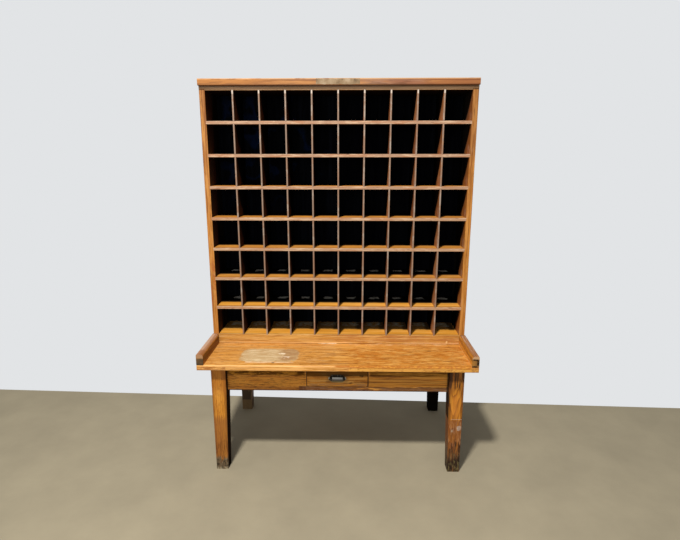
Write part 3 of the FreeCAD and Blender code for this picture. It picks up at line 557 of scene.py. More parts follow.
class SORTER_OT_table_frame(SorterOperator):
    """Worn oak on the legs and aprons, with dirty feet, scratches and chips"""

    bl_idname = "sorter.table_frame"
    bl_label = "Finish Legs and Aprons"

    def execute(self, context):
        tint = context.scene.sorter_finish
        dirt = context.scene.sorter_wear.foot_dirt / MM
        legs = (tint.leg_pale, tint.leg_mid, tint.leg_dark)
        # A dark brown, painted as shade on the legs' unlit inner faces
        painted_shade_brown = "#130a04"
        # Where the front legs, the front faces of the rear legs and the front legs' inner faces lie
        near, rear, inward = (-400, -300), (280, 304), (-337.5, -267)
        marks = [
            # Front leg: dark arrises, painted shade of the table top as a brown top, honey-coloured middle,
            # fine dark lines
            mark(tint.leg_dark, 0.6, x=(-660, -638), y=near, soft=8, ragged=4, ragged_size=60,
                 streaks=(200, 30, 0.8)),
            mark(tint.leg_dark, 0.65, x=(-586, -560), y=near, soft=7, ragged=4, ragged_size=60,
                 streaks=(200, 30, 0.8)),
            mark("#9a5a1c", 0.5, y=near, z=(440, 600), soft=24, ragged=14, streaks=(200, 18, 0.75)),
            mark("#dd9a40", 0.45, x=(-636, -596), y=near, z=(300, 470), soft=24, streaks=(160, 12, 0.55)),
            mark("#6e3d10", 0.5, y=near, soft=4, streaks=(26, 5, 0.28)),
            # Feet: worn, dark and dirty towards the floor
            mark("#855026", 0.6, z=(-400, 300), soft=24, ragged=20, streaks=(220, 16, 0.7)),
            mark(tint.leg_dark, 0.7, z=(-400, dirt + 110), soft=70, ragged=20, streaks=(70, 6, 0.5)),
            mark("#5a513f", 0.85, z=(-400, dirt - 2), soft=14, ragged=16, streaks=(60, 14, 0.85),
                 roughness=0.9),
            mark("#8d8670", 0.6, z=(-400, dirt - 8), soft=12, ragged=12, streaks=(18, 12, 0.34),
                 roughness=0.9),
            mark("#17130c", 0.75, z=(-400, dirt), soft=18, ragged=12, streaks=(22, 7, 0.34), roughness=0.9),
            mark("#a99a7c", 0.6, z=(-400, 12), soft=5, ragged=8, streaks=(20, 16, 0.5), roughness=0.9),
            # Rear legs dusty and painted dark as shade in front, the right one black; front leg's inner face
            # painted as shade
            mark("#5c4123", 0.6, y=(270, 380), soft=4, streaks=(200, 20, 0.7)),
            mark("#6b5639", 0.85, x=(-700, 0), y=rear),
            mark(tint.soil_and_painted_shade, 0.7, x=(-700, 0), y=rear, z=(70, 600), soft=4, streaks=(160, 30, 0.6)),
            mark(painted_shade_brown, 0.95, x=(-640, -500), y=inward, soft=1.5, roughness=1.0),
            mark(tint.soil_and_painted_shade, 0.985, x=(0, 700), y=rear, roughness=1.0),
            mark(tint.soil_and_painted_shade, 0.985, x=(560, 588), y=(280, 380), soft=2, roughness=1.0)]
        # Quarter-sawn oak legs: straight vertical grain, honey coloured in the middle
        give(wood("rubbed_oak_leg_straight_grain", "Z", legs, ring=9, pith=(-80, -50), tilt=(0.6, 0.8),
                  boards=(1400, 700, 0), first=(-1400, -700, 0), wander=9, figure=0.42, board_tone=0.1,
                  marks=marks),
             "leg_front_left", "leg_rear_left", "leg_rear_right")
        marks = [
            # Honey-coloured middle, dark arrises, and painted shade on the top and the inner face
            mark("#cf8132", 0.55, x=(590, 630), y=near, z=(320, 440), soft=26, streaks=(160, 14, 0.6)),
            mark(tint.leg_dark, 0.75, x=(637, 660), soft=5, ragged=4, ragged_size=60,
                 streaks=(120, 20, 0.75)),
            mark("#1c0e04", 0.85, x=(560, 580), z=(380, 600), soft=4, ragged=3, streaks=(160, 30, 0.85)),
            mark(tint.leg_dark, 0.6, x=(560, 584), z=(0, 400), soft=4, ragged=3),
            mark(painted_shade_brown, 0.85, x=(560, 590), y=inward, z=(300, 600), soft=8, roughness=1.0),
            mark("#7a4416", 0.6, z=(450, 600), soft=24, streaks=(200, 22, 0.7)),
            mark("#2e1705", 0.85, z=(480, 600), soft=16, ragged=8, streaks=(170, 13, 0.5)),
            # A scratch and two pale chips
            mark("#c4a68c", 0.6, x=(590, 646), y=(-400, -335), z=(306, 309), soft=1.5, ragged=2,
                 streaks=(40, 30, 0.7), roughness=0.8),
            mark("#f2ecdc", 0.97, x=(623, 645), y=(-400, -330), z=(242, 270), soft=2.5, radius=9, ragged=6,
                 ragged_size=14, roughness=0.8),
            mark("#dccdb0", 0.85, x=(595, 606), y=(-400, -330), z=(233, 249), soft=2, ragged=5,
                 ragged_size=12, roughness=0.8),
            # Foot: scraped pale in places, darker and dirty towards the floor
            mark("#7a441d", 0.75, z=(-400, 303), soft=6, ragged=8, streaks=(160, 20, 0.75)),
            mark("#ac7c53", 0.55, z=(60, 300), soft=16, streaks=(40, 6, 0.34), roughness=0.75),
            mark("#57402a", 0.6, z=(-400, 110), soft=60, ragged=16),
            mark("#1d1006", 0.85, z=(-400, 215), soft=60, ragged=20, streaks=(70, 6, 0.46)),
            mark("#1a120a", 0.85, z=(-400, dirt + 20), soft=34, ragged=20, streaks=(90, 9, 0.6),
                 roughness=0.85),
            mark("#7a6b44", 0.7, z=(-400, dirt + 40), soft=20, ragged=14, streaks=(26, 6, 0.34),
                 roughness=0.9)]
        # Plain-sawn oak leg: nested points of the growth rings, then bare scratched wood below
        give(wood("rubbed_oak_leg_plain_sawn", "Z", legs, ring=11, pith=(609, -246), tilt=(6.2, 0.6),
                  wander=11, wave=(6, 26), figure=0.6, marks=marks),
             "leg_front_right")
        aprons = (tint.apron_pale, tint.apron_mid, tint.apron_dark)
        # The front apron left and right of the drawer
        left, right = (-573, -165), (165, 573)
        marks = [
            # Left part: mottled, between painted shadow of the table top along the upper edge and a brown
            # lower edge
            mark("#311801", 0.85, x=left, z=(532, 600), soft=8, ragged=8, streaks=(60, 14, 0.84),
                 roughness=1.0),
            mark("#cd8a30", 0.6, x=(-560, -170), z=(470, 560), soft=16, ragged=16, streaks=(70, 16, 0.5)),
            mark("#6b3e12", 0.8, x=left, z=(440, 472), soft=8, ragged=8, streaks=(140, 16, 0.8),
                 roughness=0.85),
            # Right part: striped, with painted shadow of the table top along the upper edge
            mark("#2e1602", 0.8, x=right, z=(530, 600), soft=6, ragged=6, streaks=(200, 12, 0.85),
                 roughness=1.0),
            mark("#4c2a0c", 0.6, x=right, z=(474, 600), soft=8, streaks=(420, 7, 0.36)),
            mark("#cf923c", 0.65, x=right, z=(450, 600), soft=8, streaks=(300, 8, 0.48)),
            # Fine dark flecks on the left
            mark("#2e1705", 0.6, x=left, soft=8, streaks=(40, 6, 0.34)),
            # Lower edge, worn to a greyish brown, with a dark line
            mark("#4a2a1a", 0.85, x=(-200, 573), z=(440, 474), soft=4, ragged=5, streaks=(160, 12, 0.72),
                 roughness=0.85),
            mark("#8a6a52", 0.5, x=(-180, 573), z=(440, 475), soft=4, ragged=5, streaks=(60, 6, 0.38)),
            mark("#1e1008", 0.85, z=(444, 452), soft=2, ragged=2, streaks=(160, 20, 0.7)),
            # Dark ends at the legs and dark arrises at the drawer
            mark("#140a03", 0.92, x=(-580, -570), ragged=2),
            mark("#140a03", 0.92, x=(566, 580), soft=4, ragged=2),
            *(mark("#22120a", 0.8, x=x, z=(472, 600), soft=1.2, ragged=1)
              for x in ((-161, -150), (150, 162)))]
        # Fumed oak aprons: browner than the top, mottled on the left and striped on the right
        give(wood("fumed_oak_apron", "X", aprons, ring=9, pith=(-240, 330), tilt=(0.9, 2.0), wander=14,
                  wave=(4, 14), marks=marks),
             "front_apron")
        marks = [
            mark("#5e3912", 0.6, streaks=(300, 14, 0.6)),
            mark(tint.grime, 0.45, z=(440, 470), soft=12, ragged=10)]
        # Fumed oak side aprons: streaked, with grime along the lower edge
        give(wood("fumed_oak_side_apron", "Y", aprons, ring=9, pith=(380, -40), tilt=(0.9, 1.1),
                  boards=(1300, 0, 0), first=(-1300, 0, 0), wander=14, marks=marks),
             "side_apron_left", "side_apron_right")
        marks = [
            mark("#5e3912", 0.55, streaks=(300, 14, 0.5)),
            mark(tint.grime, 0.45, z=(440, 470), soft=12, ragged=10)]
        # The rear apron is the same oak from another board
        give(wood("fumed_oak_rear_apron", "X", aprons, ring=9, pith=(300, 560), tilt=(0.8, 1.0),
                  wander=14, marks=marks),
             "rear_apron")
        return {"FINISHED"}


class SORTER_OT_drawer(SorterOperator):
    """Oak drawer front and bare softwood drawer, with its runners and the top buttons"""

    bl_idname = "sorter.drawer"
    bl_label = "Finish Drawer"

    def execute(self, context):
        tint = context.scene.sorter_finish
        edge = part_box("drawer_front")[1].x / MM
        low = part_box("drawer_front")[0].z / MM
        marks = [
            # Fine dark lines, a pale middle, and painted shadow of the table top on the upper part
            mark("#4c2a0c", 0.5, streaks=(130, 7, 0.32)),
            mark("#d39a4a", 0.8, x=(-150, 150), z=(low + 10, low + 70), soft=10, streaks=(120, 9, 0.45)),
            mark("#321b07", 0.8, z=(low + 53, low + 120), soft=6, ragged=4, roughness=1.0),
            # Grime round the pull, and a worn lower edge
            mark(tint.grime, 0.35, x=(-56, 56), z=(490, 550), soft=10, ragged=8),
            mark("#9c6f48", 0.7, z=(low - 2, low + 12), soft=4, ragged=7, streaks=(46, 8, 0.48),
                 roughness=0.7),
            mark("#2a1406", 0.3, z=(low - 2, low + 2), soft=1.5, ragged=1.5),
            # Dark arrises at both ends, and two dents
            *(mark("#22120a", 0.8, x=x, soft=1.2, ragged=1)
              for x in ((-edge - 3, -edge + 1.5), (edge - 2.5, edge + 3))),
            mark("#2e1706", 0.85, x=(116, 134), z=(527, 536), soft=4, ragged=8, ragged_size=12),
            mark("#2e1706", 0.7, x=(60, 76), z=(490, 496), soft=4, ragged=8, ragged_size=12)]
        # Fumed oak from another board than the apron, its arrises dark and its lower edge worn
        give(wood("fumed_oak_drawer_front", "X", (tint.apron_pale, tint.apron_mid, tint.apron_dark),
                  pith=(-330, 640), tilt=(1.2, 0.6), wander=14, wave=(4, 14), figure=0.4, marks=marks),
             "drawer_front")
        # Bare pine: yellowed, dusty, with ink and rub marks and no varnish
        bare = {"shades": ("#c9a473", "#b18a58", "#7c5a33"), "ring": 6, "tilt": (0.6, 0.8), "wander": 8,
                "figure": 0.35, "pores": 0.1, "roughness": (0.6, 0.85), "shine": 0.15}
        marks = [
            mark("#6e5334", 0.4, streaks=(260, 12, 0.4), roughness=0.85),
            mark(tint.grime, 0.3, streaks=(90, 5, 0.22), roughness=0.85)]
        give(wood("bare_yellowed_pine_drawer", "Y", pith=(460, -40), boards=(160, 0, 0),
                  first=(-160, 0, 0), marks=marks, **bare),
             "drawer_side_left", "drawer_side_right", "drawer_bottom", "drawer_runner_left",
             "drawer_runner_right", "drawer_guide_left", "drawer_guide_right")
        marks = [
            mark("#6e5334", 0.4, streaks=(200, 10, 0.4), roughness=0.85)]
        # The same pine where its grain runs across
        give(wood("bare_yellowed_pine_cross", "X", pith=(60, 420), marks=marks, **bare),
             "drawer_back", "drawer_stops", "top_buttons")
        return {"FINISHED"}


class SORTER_OT_case(SorterOperator):
    """Golden oak on the case sides, the top board and the cornice"""

    bl_idname = "sorter.case"
    bl_label = "Finish Case"

    def execute(self, context):
        tint = context.scene.sorter_finish
        front, inner, level = CASE_FRONT, CASE_INSIDE, FLOOR_OF_ROW_8
        face = (front - 3, front + 3)
        marks = [
            # Painted shade towards the top, with dark pores
            mark("#724119", 0.8, z=(1600, 2500), soft=380, streaks=(300, 14, 0.85)),
            mark(tint.case_dark, 0.6, streaks=(420, 6, 0.3)),
            # Front edges: pale lines, dark at the upper right, reddish low on the left, scratched
            mark("#cf934a", 0.5, y=face, soft=1, streaks=(200, 7, 0.42)),
            mark("#70401a", 0.35, x=(0, 720), y=face, z=(1650, 2500), soft=60),
            mark("#9c4f22", 0.7, x=(-720, 0), y=face, z=(830, 1090), soft=50, ragged=20,
                 streaks=(120, 9, 0.6)),
            mark("#4a2810", 0.6, y=face, z=(1000, 2000), soft=8, streaks=(90, 6, 0.22)),
            # Inner faces: reddish, pale low down in each pigeonhole, black behind with dirt and painted
            # shade; the left one painted black as shade
            mark("#8c4a26", 0.5, x=(-inner - 4, inner + 4), y=(front + 4, 400), soft=4,
                 streaks=(80, 12, 0.6)),
            mark("#b08a70", 0.6, x=(-inner - 10, inner + 10), y=(front + 4, front + 50),
                 z=(level - 12, level + 46), soft=10, ragged=14, streaks=(50, 8, 0.45), repeat=EACH_ROW),
            mark(tint.soil_and_painted_shade, 0.985, x=(-inner - 12, inner + 12), y=(front + 126, 400), soft=12, ragged=4,
                 roughness=1.0),
            mark(tint.soil_and_painted_shade, 0.985, x=(-inner - 10, inner + 10), y=(front + 94, 400),
                 z=(600, level + 4 * ROW_PITCH), soft=10, ragged=6, roughness=1.0),
            mark("#170e0c", 0.9, x=(-inner - 3, -inner + 20), y=(front + 5, 400), roughness=1.0),
            # Painted shadow of the shelf above on the right side's inner face, all but a rounded corner low
            # in front
            mark(tint.soil_and_painted_shade, 0.985, x=(inner - 2, inner + 2), y=(front + 6, front + 526),
                 z=(level - 20, level + 520), soft=12, radius=250, roughness=1.0, repeat=EACH_ROW),
            # Grime at the foot, and a dull outside
            mark(tint.grime, 0.6, z=(600, 640), soft=14, ragged=10),
            mark(tint.grime, 0.35, y=(-60, 400), streaks=(500, 60, 0.4), roughness=0.7)]
        # Golden oak, rubbed on its arrises, and almost black inside the pigeonholes with handling dirt and
        # painted shade
        give(wood("golden_oak_case_side", "Z", (tint.case_pale, tint.case_mid, tint.case_dark),
                  ring=6, pith=(60, -120), tilt=(0.4, 0.5), boards=(1400, 0, 0), first=(-1400, 0, 0),
                  wander=8, figure=0.36, board_tone=0.1, marks=marks),
             "case_side_left", "case_side_right")
        marks = [
            # Front edge, pale, with a painted shadow line under the cornice
            mark("#c49c74", 0.9, y=face, soft=1),
            mark("#a47a4e", 0.6, y=face, soft=1, streaks=(200, 8, 0.5)),
            mark("#553c24", 0.8, y=face, z=(1974, 1984), ragged=1),
            # Painted shade blackening the underside, and dust on top
            mark(tint.soil_and_painted_shade, 0.98, y=(front + 5, 400), z=(1900, CELLS_TOP + 6), soft=2, roughness=1.0),
            mark("#4f3a26", 0.5, y=(-48, 400), z=(1978, 1985), soft=2, streaks=(220, 9, 0.5)),
            mark(tint.dust, 0.5, y=(-48, 400), z=(1978, 1985), soft=2, roughness=0.9)]
        # Golden oak top board: rubbed front edge with a painted shadow line under the cornice, painted shade
        # underneath, dust on top
        give(wood("golden_oak_top_board", "X", (tint.edge_pale, tint.case_mid, tint.case_dark),
                  pith=(40, 1900), tilt=(0.4, 0.4), wander=12, figure=0.35, marks=marks),
             "case_top_board")
        marks = [
            # Reddish and greyish stretches
            mark("#a4682b", 0.6, x=(-720, -380), soft=90, ragged=60, ragged_size=200),
            mark("#8c6853", 0.75, x=(110, 430), soft=60, ragged=60, ragged_size=160, streaks=(300, 14, 0.75)),
            mark("#8a5a40", 0.6, x=(-330, -20), soft=50, ragged=50, ragged_size=120, streaks=(200, 9, 0.4)),
            mark("#7d4526", 0.6, x=(250, 720), soft=80, streaks=(260, 12, 0.8)),
            # Scratches, a dark line below, a pale upper arris and dust
            mark("#543014", 0.6, streaks=(140, 7, 0.3)),
            mark("#543014", 0.6, z=(1978, 1985.5), soft=2, ragged=1),
            mark("#c99d6c", 0.6, y=(-97, -90), z=(2008, 2014), soft=1.5, streaks=(90, 8, 0.6)),
            mark(tint.dust, 0.45, y=(-88, 0), z=(2010, 2015), soft=2, roughness=0.9)]
        # Golden oak cornice: reddish and greyish stretches, fine scratches, pale upper arris
        give(wood("golden_oak_cornice", "X", ("#ac7640", "#955f2c", "#5a3212"), ring=7,
                  pith=(-160, 1985), tilt=(0.5, 0.3), wander=8, figure=0.35, tone=0.6, marks=marks),
             "cornice")
        return {"FINISHED"}


class SORTER_OT_pigeonholes(SorterOperator):
    """Shelves, kick rail and dividers: rubbed pale front edges, soiled, dusty and painted dark as shade
    behind
    """

    bl_idname = "sorter.pigeonholes"
    bl_label = "Finish Pigeonholes"

    def execute(self, context):
        tint = context.scene.sorter_finish
        wear = context.scene.sorter_wear
        front, back = CASE_FRONT, CELLS_BACK
        level, pitch = FLOOR_OF_ROW_8, ROW_PITCH
        # Where the lit strip on each floor ends and the painted shadow of the shelf above begins
        clean = front + wear.painted_shadow_depth / MM
        face = (front - 3, front + wear.edge_rub / MM)
        marks = [
            # Darker wood higher up, and in a strip behind the front edges
            mark("#a8692c", 0.6, z=(level + 1.5 * pitch, 2000), soft=20, streaks=(120, 20, 0.75)),
            mark("#8f5210", 0.7, y=(front + 3, front + 20), z=(level + 60, 1400), ragged=3,
                 streaks=(160, 30, 0.8)),
            # Behind the lit strip, dirt and painted shadow of the shelf above: brown on the lowest floor,
            # black above, darker by a divider
            mark("#a67839", 0.9, y=(clean, 500), z=(0, level + 20), soft=7, ragged=4, roughness=0.8),
            mark(tint.soil_and_painted_shade, 0.97, y=(clean, 500), z=(level + 40, 2000), soft=7, ragged=4, roughness=1.0),
            mark(tint.soil_and_painted_shade, 0.9, y=(clean - 12, 500), z=(level + 100, level + 2.4 * pitch), soft=6,
                 ragged=4),
            mark(tint.soil_and_painted_shade, 0.7, x=(100, 136), y=(clean - 4, 500), soft=8, ragged=10, repeat=EACH_CELL),
            # Pale dust at the back of the lower rows
            mark("#dcd6c8", 0.9, x=(46, 94), y=(back - 66, back - 26), z=(level + 40, level + 2.4 * pitch),
                 soft=6, ragged=18, ragged_size=24, roughness=0.9, repeat=EACH_CELL),
            mark("#cfcab6", 0.75, x=(24, 112), y=(back - 76, back - 14), z=(0, level + 20), soft=10,
                 ragged=24, ragged_size=30, streaks=(26, 13, 0.5), roughness=0.9, repeat=EACH_CELL),
            # Undersides, painted black as shade behind the front edge
            mark(tint.soil_and_painted_shade, 0.96, y=(front + 4, 500), z=(level + 141, level + 153), soft=2, roughness=1.0,
                 repeat=EACH_ROW),
            # Front edges: bare pinkish oak with brown, pale and dark streaks
            mark(tint.edge_pale, 0.92, y=face, soft=0.8, ragged=0.6, ragged_size=90, roughness=0.62),
            # Painted shade on the front edges of the upper rows
            mark("#8f6c56", 0.4, y=face, z=(level + 4.6 * pitch, 2000), soft=60),
            mark("#a3683f", 0.55, y=face, soft=0.8, streaks=(140, 9, 0.42)),
            mark("#c9a988", 0.6, y=face, soft=0.8, streaks=(70, 8, 0.38)),
            mark("#5c3a24", 0.6, y=face, soft=0.8, streaks=(40, 6, 0.18))]
        # Amber varnished oak shelves: bare pinkish front edges, a bright lit strip, then dirt and painted
        # shade in the depths
        give(wood("amber_oak_shelf", "X", ("#eaa850", tint.floor_mid, "#a8641f"), pith=(190, -50),
                  tilt=(0.4, 0.4), boards=(0, 0, pitch), first=(0, front, level - 40), wander=14,
                  wave=(5, 16), figure=0.35, tone=0.6, board_tone=0.15, marks=marks),
             "bottom_shelf", *numbered("shelf", 7))
        marks = [
            # Brown towards the right, with pale and dark lines all over
            mark("#a0602c", 0.6, x=(-20, 720), soft=160, ragged=40, streaks=(160, 9, 0.5)),
            mark("#e2b878", 0.4, streaks=(160, 7, 0.36)),
            mark("#84501e", 0.4, streaks=(130, 5, 0.28)),
            # Pale rubbed foot, and a dark line where it meets the deck
            mark("#ecb976", 0.6, x=(-700, 60), y=face, z=(617.5, 624), soft=1.5, ragged=1.5,
                 streaks=(200, 12, 0.75)),
            mark("#dcae7c", 0.6, x=(0, 700), y=face, z=(616, 626), soft=2, ragged=4, streaks=(50, 8, 0.5)),
            mark("#5c3210", 0.75, z=(612, 618), soft=1, ragged=0.6),
            # Two pale scrapes
            mark("#f4e6cb", 0.7, x=(-112, -10), z=(614, 619), soft=2, ragged=4, streaks=(30, 8, 0.55),
                 roughness=0.7),
            mark("#efc788", 0.65, x=(600, 607), y=face, z=(620, 635), soft=2, ragged=5, ragged_size=14,
                 roughness=0.7)]
        # The kick rail is varnished oak, wiped clean, paler along its foot
        give(wood("golden_oak_kick_rail", "X", ("#d19e52", "#b97f34", "#754612"), ring=7,
                  pith=(-130, 560), tilt=(0.5, 0.4), wander=12, wave=(7, 30), figure=0.4, fibre=0.85,
                  marks=marks),
             "kick_rail")
        marks = [
            # Faces: pale low down in front, black behind with dirt and painted shade; faces that look right
            # painted black as shade
            mark("#b59078", 0.65, y=(front + 4, front + 54), z=(level - 12, level + 50), soft=10, ragged=14,
                 streaks=(50, 8, 0.45), repeat=EACH_ROW),
            mark(tint.soil_and_painted_shade, 0.985, y=(front + 126, 500), soft=14, ragged=8, roughness=1.0),
            mark(tint.soil_and_painted_shade, 0.985, y=(front + 94, 500), z=(600, level + 4 * pitch), soft=10, ragged=8,
                 roughness=1.0),
            mark("#170e0c", 0.9, x=(2, 8), y=(front + 5, 500), soft=2, ragged=1, roughness=1.0,
                 repeat=EACH_CELL),
            # Painted shadow of the shelf above on the faces, all but a rounded corner low in front
            mark(tint.soil_and_painted_shade, 0.97, y=(front + 6, front + 526), z=(level - 20, level + 520), soft=12,
                 radius=250, ragged=6, roughness=1.0, repeat=EACH_ROW),
            # Front edges: grey-brown and streaked, pale at the very top
            mark("#86705f", 0.94, y=face, soft=0.8, ragged=0.6, ragged_size=90, roughness=0.62),
            mark("#a5764f", 0.5, x=(330, 700), y=face, soft=60, ragged=60),
            mark("#8a5f42", 0.5, y=face, soft=0.8, streaks=(90, 30, 0.46)),
            mark("#a69a8c", 0.5, y=face, soft=0.8, streaks=(60, 30, 0.36)),
            mark("#c9b9a8", 0.8, y=face, z=(1944, 1962), soft=2, ragged=3)]
        # Thin oak dividers set on end: pale rubbed front edges, faces black with handling dirt and painted
        # shade
        give(wood("oak_divider_soiled_and_painted_shade", "Z", ("#b87c4c", "#935527", "#5c3012"), ring=7, pith=(40, -60),
                  boards=(COLUMN_PITCH, 0, pitch), first=(-COLUMN_PITCH / 2, front, level - 8), wander=6,
                  figure=0.35, tone=0.6, marks=marks),
             *numbered("dividers_row", 8))
        return {"FINISHED"}


class SORTER_OT_back(SorterOperator):
    """Dark stained boards behind the pigeonholes, their black inside partly painted shade, and the bar at
    their foot
    """

    bl_idname = "sorter.back"
    bl_label = "Finish Back"

    def execute(self, context):
        tint = context.scene.sorter_finish
        outside = {"y": (157, 170), "soft": 2}
        marks = [
            # Painted blue reflected light inside, at the upper left
            mark("#0b1a36", 0.9, x=(-700, -100), y=(147, 155), z=(1480, 2000), soft=240, ragged=80,
                 ragged_size=200),
            # Outside: brown, with grey scuffs and dust
            mark("#2e241b", 0.75, **outside),
            mark("#4a3b2c", 0.45, **outside, streaks=(700, 7, 0.45), roughness=0.8),
            mark("#120d0a", 0.6, **outside, streaks=(500, 5, 0.3)),
            mark(tint.dust, 0.22, **outside, streaks=(260, 6, 0.3), roughness=0.9)]
        # Softwood under blue-black stain, which also stands in for shade inside: faint grain, grey scuffs on
        # the outside
        give(wood("softwood_back_black_stain_and_painted_shade", "Z", ("#0d1018", "#07080d", "#030306"), ring=7,
                  pith=(110, -60), tilt=(0.5, 0.5), boards=(BACK_BOARD, 0, 0), first=(-683, 0, 0), wander=14,
                  figure=0.5, pores=0.1, tone=0.6, roughness=(0.6, 0.8), shine=0.02, marks=marks),
             *numbered("back_board", 6), "rear_support")
        return {"FINISHED"}


class SORTER_OT_hardware(SorterOperator):
    """Pressed steel pull with a cup for the fingers, and steel for the screws"""

    bl_idname = "sorter.hardware"
    bl_label = "Make Hardware"

    def execute(self, context):
        tint = context.scene.sorter_finish
        size = context.scene.sorter_pull
        low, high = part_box("drawer_pull")
        half_width, half_height = (high.x - low.x) / 2, (high.z - low.z) / 2
        middle = Vector(((low.x + high.x) / 2, low.y + size.stand, (low.z + high.z) / 2))

        # The plate: a long outline with blunt pointed ends round the mouth of the cup
        form = bmesh.new()
        edge_x, edge_z = size.mouth_width / 2 + size.bead, size.mouth_height / 2 + size.bead
        outline = rounded_loop(form, [(size.flat / 2, half_height), (half_width, size.tip / 2)], middle,
                               size.corner)
        mouth = rounded_loop(form, [(edge_x, edge_z)], middle, size.mouth_corner)
        bmesh.ops.bridge_loops(form, edges=outline + mouth)
        ring_drawn(form, outline, lambda point: point + Vector((0, size.stand, 0)))

        # A half-round bead, rolled round the mouth
        inset = 0.0
        for turn in range(1, 7):
            angle = math.pi * turn / 6
            reach = size.bead * (1 - math.cos(angle)) / 2
            wide = (edge_x - reach) / (edge_x - inset)
            tall = (edge_z - reach) / (edge_z - inset)
            face = middle.y - size.stand * math.sin(angle)
            mouth = ring_drawn(form, mouth, lambda point: Vector(
                (point.x * wide, face, middle.z + (point.z - middle.z) * tall)))
            inset = reach

        # The cup: its floor slopes up to the back, and its top reaches behind the plate
        floor = middle.z - size.mouth_height / 2
        for share, lift in ((0.06, 0.0), (0.16, size.lip), (0.3, 0.0), (0.5, 0.0), (0.7, 0.0), (0.88, 0.0),
                            (1.0, -0.5 * size.lip)):
            depth = size.cup_depth * share
            mouth = ring_drawn(form, mouth, lambda point: Vector((
                point.x, middle.y + depth,
                max(point.z + (lift if point.z > middle.z else 0.0), floor + depth * 1.05))))
        bmesh.ops.holes_fill(form, edges=mouth, sides=0)
        bmesh.ops.remove_doubles(form, verts=form.verts[:], dist=0.02 * MM)
        bmesh.ops.recalc_face_normals(form, faces=form.faces[:])
        bmesh.ops.solidify(form, geom=form.faces[:], thickness=size.sheet)
        pull = make_piece(form, "pressed_steel_pull", "drawer", "pull_steel", "drawer_pull")

        z, face = middle.z / MM, middle.y / MM
        marks = [
            # Painted light on the cup's slope, which is also rubbed, an olive-brown lower edge, and painted
            # shade blackening the cup's upper part
            mark("#92887a", 0.9, x=(-29, 29), y=(face + 0.8, face + 14), z=(z - 14, z + 1), soft=1.5,
                 ragged=1.5, ragged_size=14),
            mark("#e6e3dc", 0.9, x=(-27, 27), y=(face + 5, face + 14), z=(z - 7, z + 0.5), soft=2, ragged=1.5,
                 ragged_size=14),
            mark("#8f7c55", 0.8, y=(face - 4, face + 2), z=(z - 24, z - 13), soft=2, ragged=2,
                 ragged_size=14),
            mark("#030302", 0.97, y=(face + 0.8, face + 15), z=(z + 0.5, z + 20), soft=1.2),
            # Rubbed tips
            *(mark("#c6bfab", 0.7, x=x, z=(z - 4, z + 9), soft=2.5, ragged=2, ragged_size=10)
              for x in ((-46, -40), (40, 46)))]
        # Nickelled steel: oily black plate, its bead rubbed, the cup's slope rubbed and painted light, its
        # upper part painted shade
        pull.data.materials.append(steel("nickelled_steel_worn_and_painted_light", tint.steel, "#1f160d", 0.36, marks))
        # The pull's screws: the same steel, half covered with old oil
        give(steel("oily_steel_screw_head", tint.steel, "#23201d", 0.5), "drawer_pull_screws")
        # Steel screws under the top: dull brown-grey with a film of rust
        give(steel("dull_steel_screw", "#6b665e", "#3a291d", 0.5),
             "button_screws", "table_top_screws", "cornice_screws", "back_board_screws")
        return {"FINISHED"}


class SORTER_OT_label(SorterOperator):
    """Bare aged paper with worn edges on the cornice"""

    bl_idname = "sorter.label"
    bl_label = "Make Label"

    def execute(self, context):
        tint = context.scene.sorter_finish
        low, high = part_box("blank_label")
        middle = (low + high) / 2
        form = bmesh.new()
        size = Matrix.Diagonal(((high.x - low.x) / 2, 1, (high.z - low.z) / 2, 1))
        upright = Matrix.Rotation(math.radians(90), 4, "X")
        bmesh.ops.create_grid(form, x_segments=66, y_segments=9, size=1.0,
                              matrix=Matrix.Translation(middle) @ size @ upright)
        # Slightly cockled, with its edges nibbled away by up to 7 mm
        for vert in form.verts:
            vert.co.y += 0.08 * MM * noise.noise(vert.co * 45)
            if vert.is_boundary:
                worn = (max(0.0, noise.noise(vert.co * 110)) * 3.2
                        + max(0.0, noise.noise(vert.co * 30)) * 4.0)
                on_long_side = abs(vert.co.z - middle.z) > 0.49 * (high.z - low.z)
                inward = (middle - vert.co) * Vector((0, 0, 1) if on_long_side else (1, 0, 0))
                vert.co += inward.normalized() * worn * MM
        bmesh.ops.solidify(form, geom=form.faces[:], thickness=0.1 * MM)
        label = make_piece(form, "worn_paper_label", "sorter", "label_paper", "blank_label")

        # Laid paper: yellow-grey, smudged by hands, worn through in places
        material, tree, shader = new_material("aged_bare_paper")
        place = add(tree, "TexCoord", out="Object")
        smudge = add(tree, "TexNoise", {"Vector": place, "Scale": 1 / (34 * MM), "Detail": 5.0,
                                        "Roughness": 0.6})
        fibre = add(tree, "TexNoise", {"Vector": place, "Scale": 1 / (1.5 * MM), "Detail": 3.0})
        colour = add(tree, "ValToRGB", (smudge,), stops=[(0.3, "#4e3c28"), (0.44, tint.paper),
                                                         (0.58, "#917a5d"), (0.72, "#a08b71")])
        bump = add(tree, "Bump", {"Height": fibre, "Strength": 0.25, "Distance": 0.15 * MM})
        feed(shader, {"Base Color": colour, "Normal": bump, "Roughness": 0.85})
        label.data.materials.append(material)
        return {"FINISHED"}


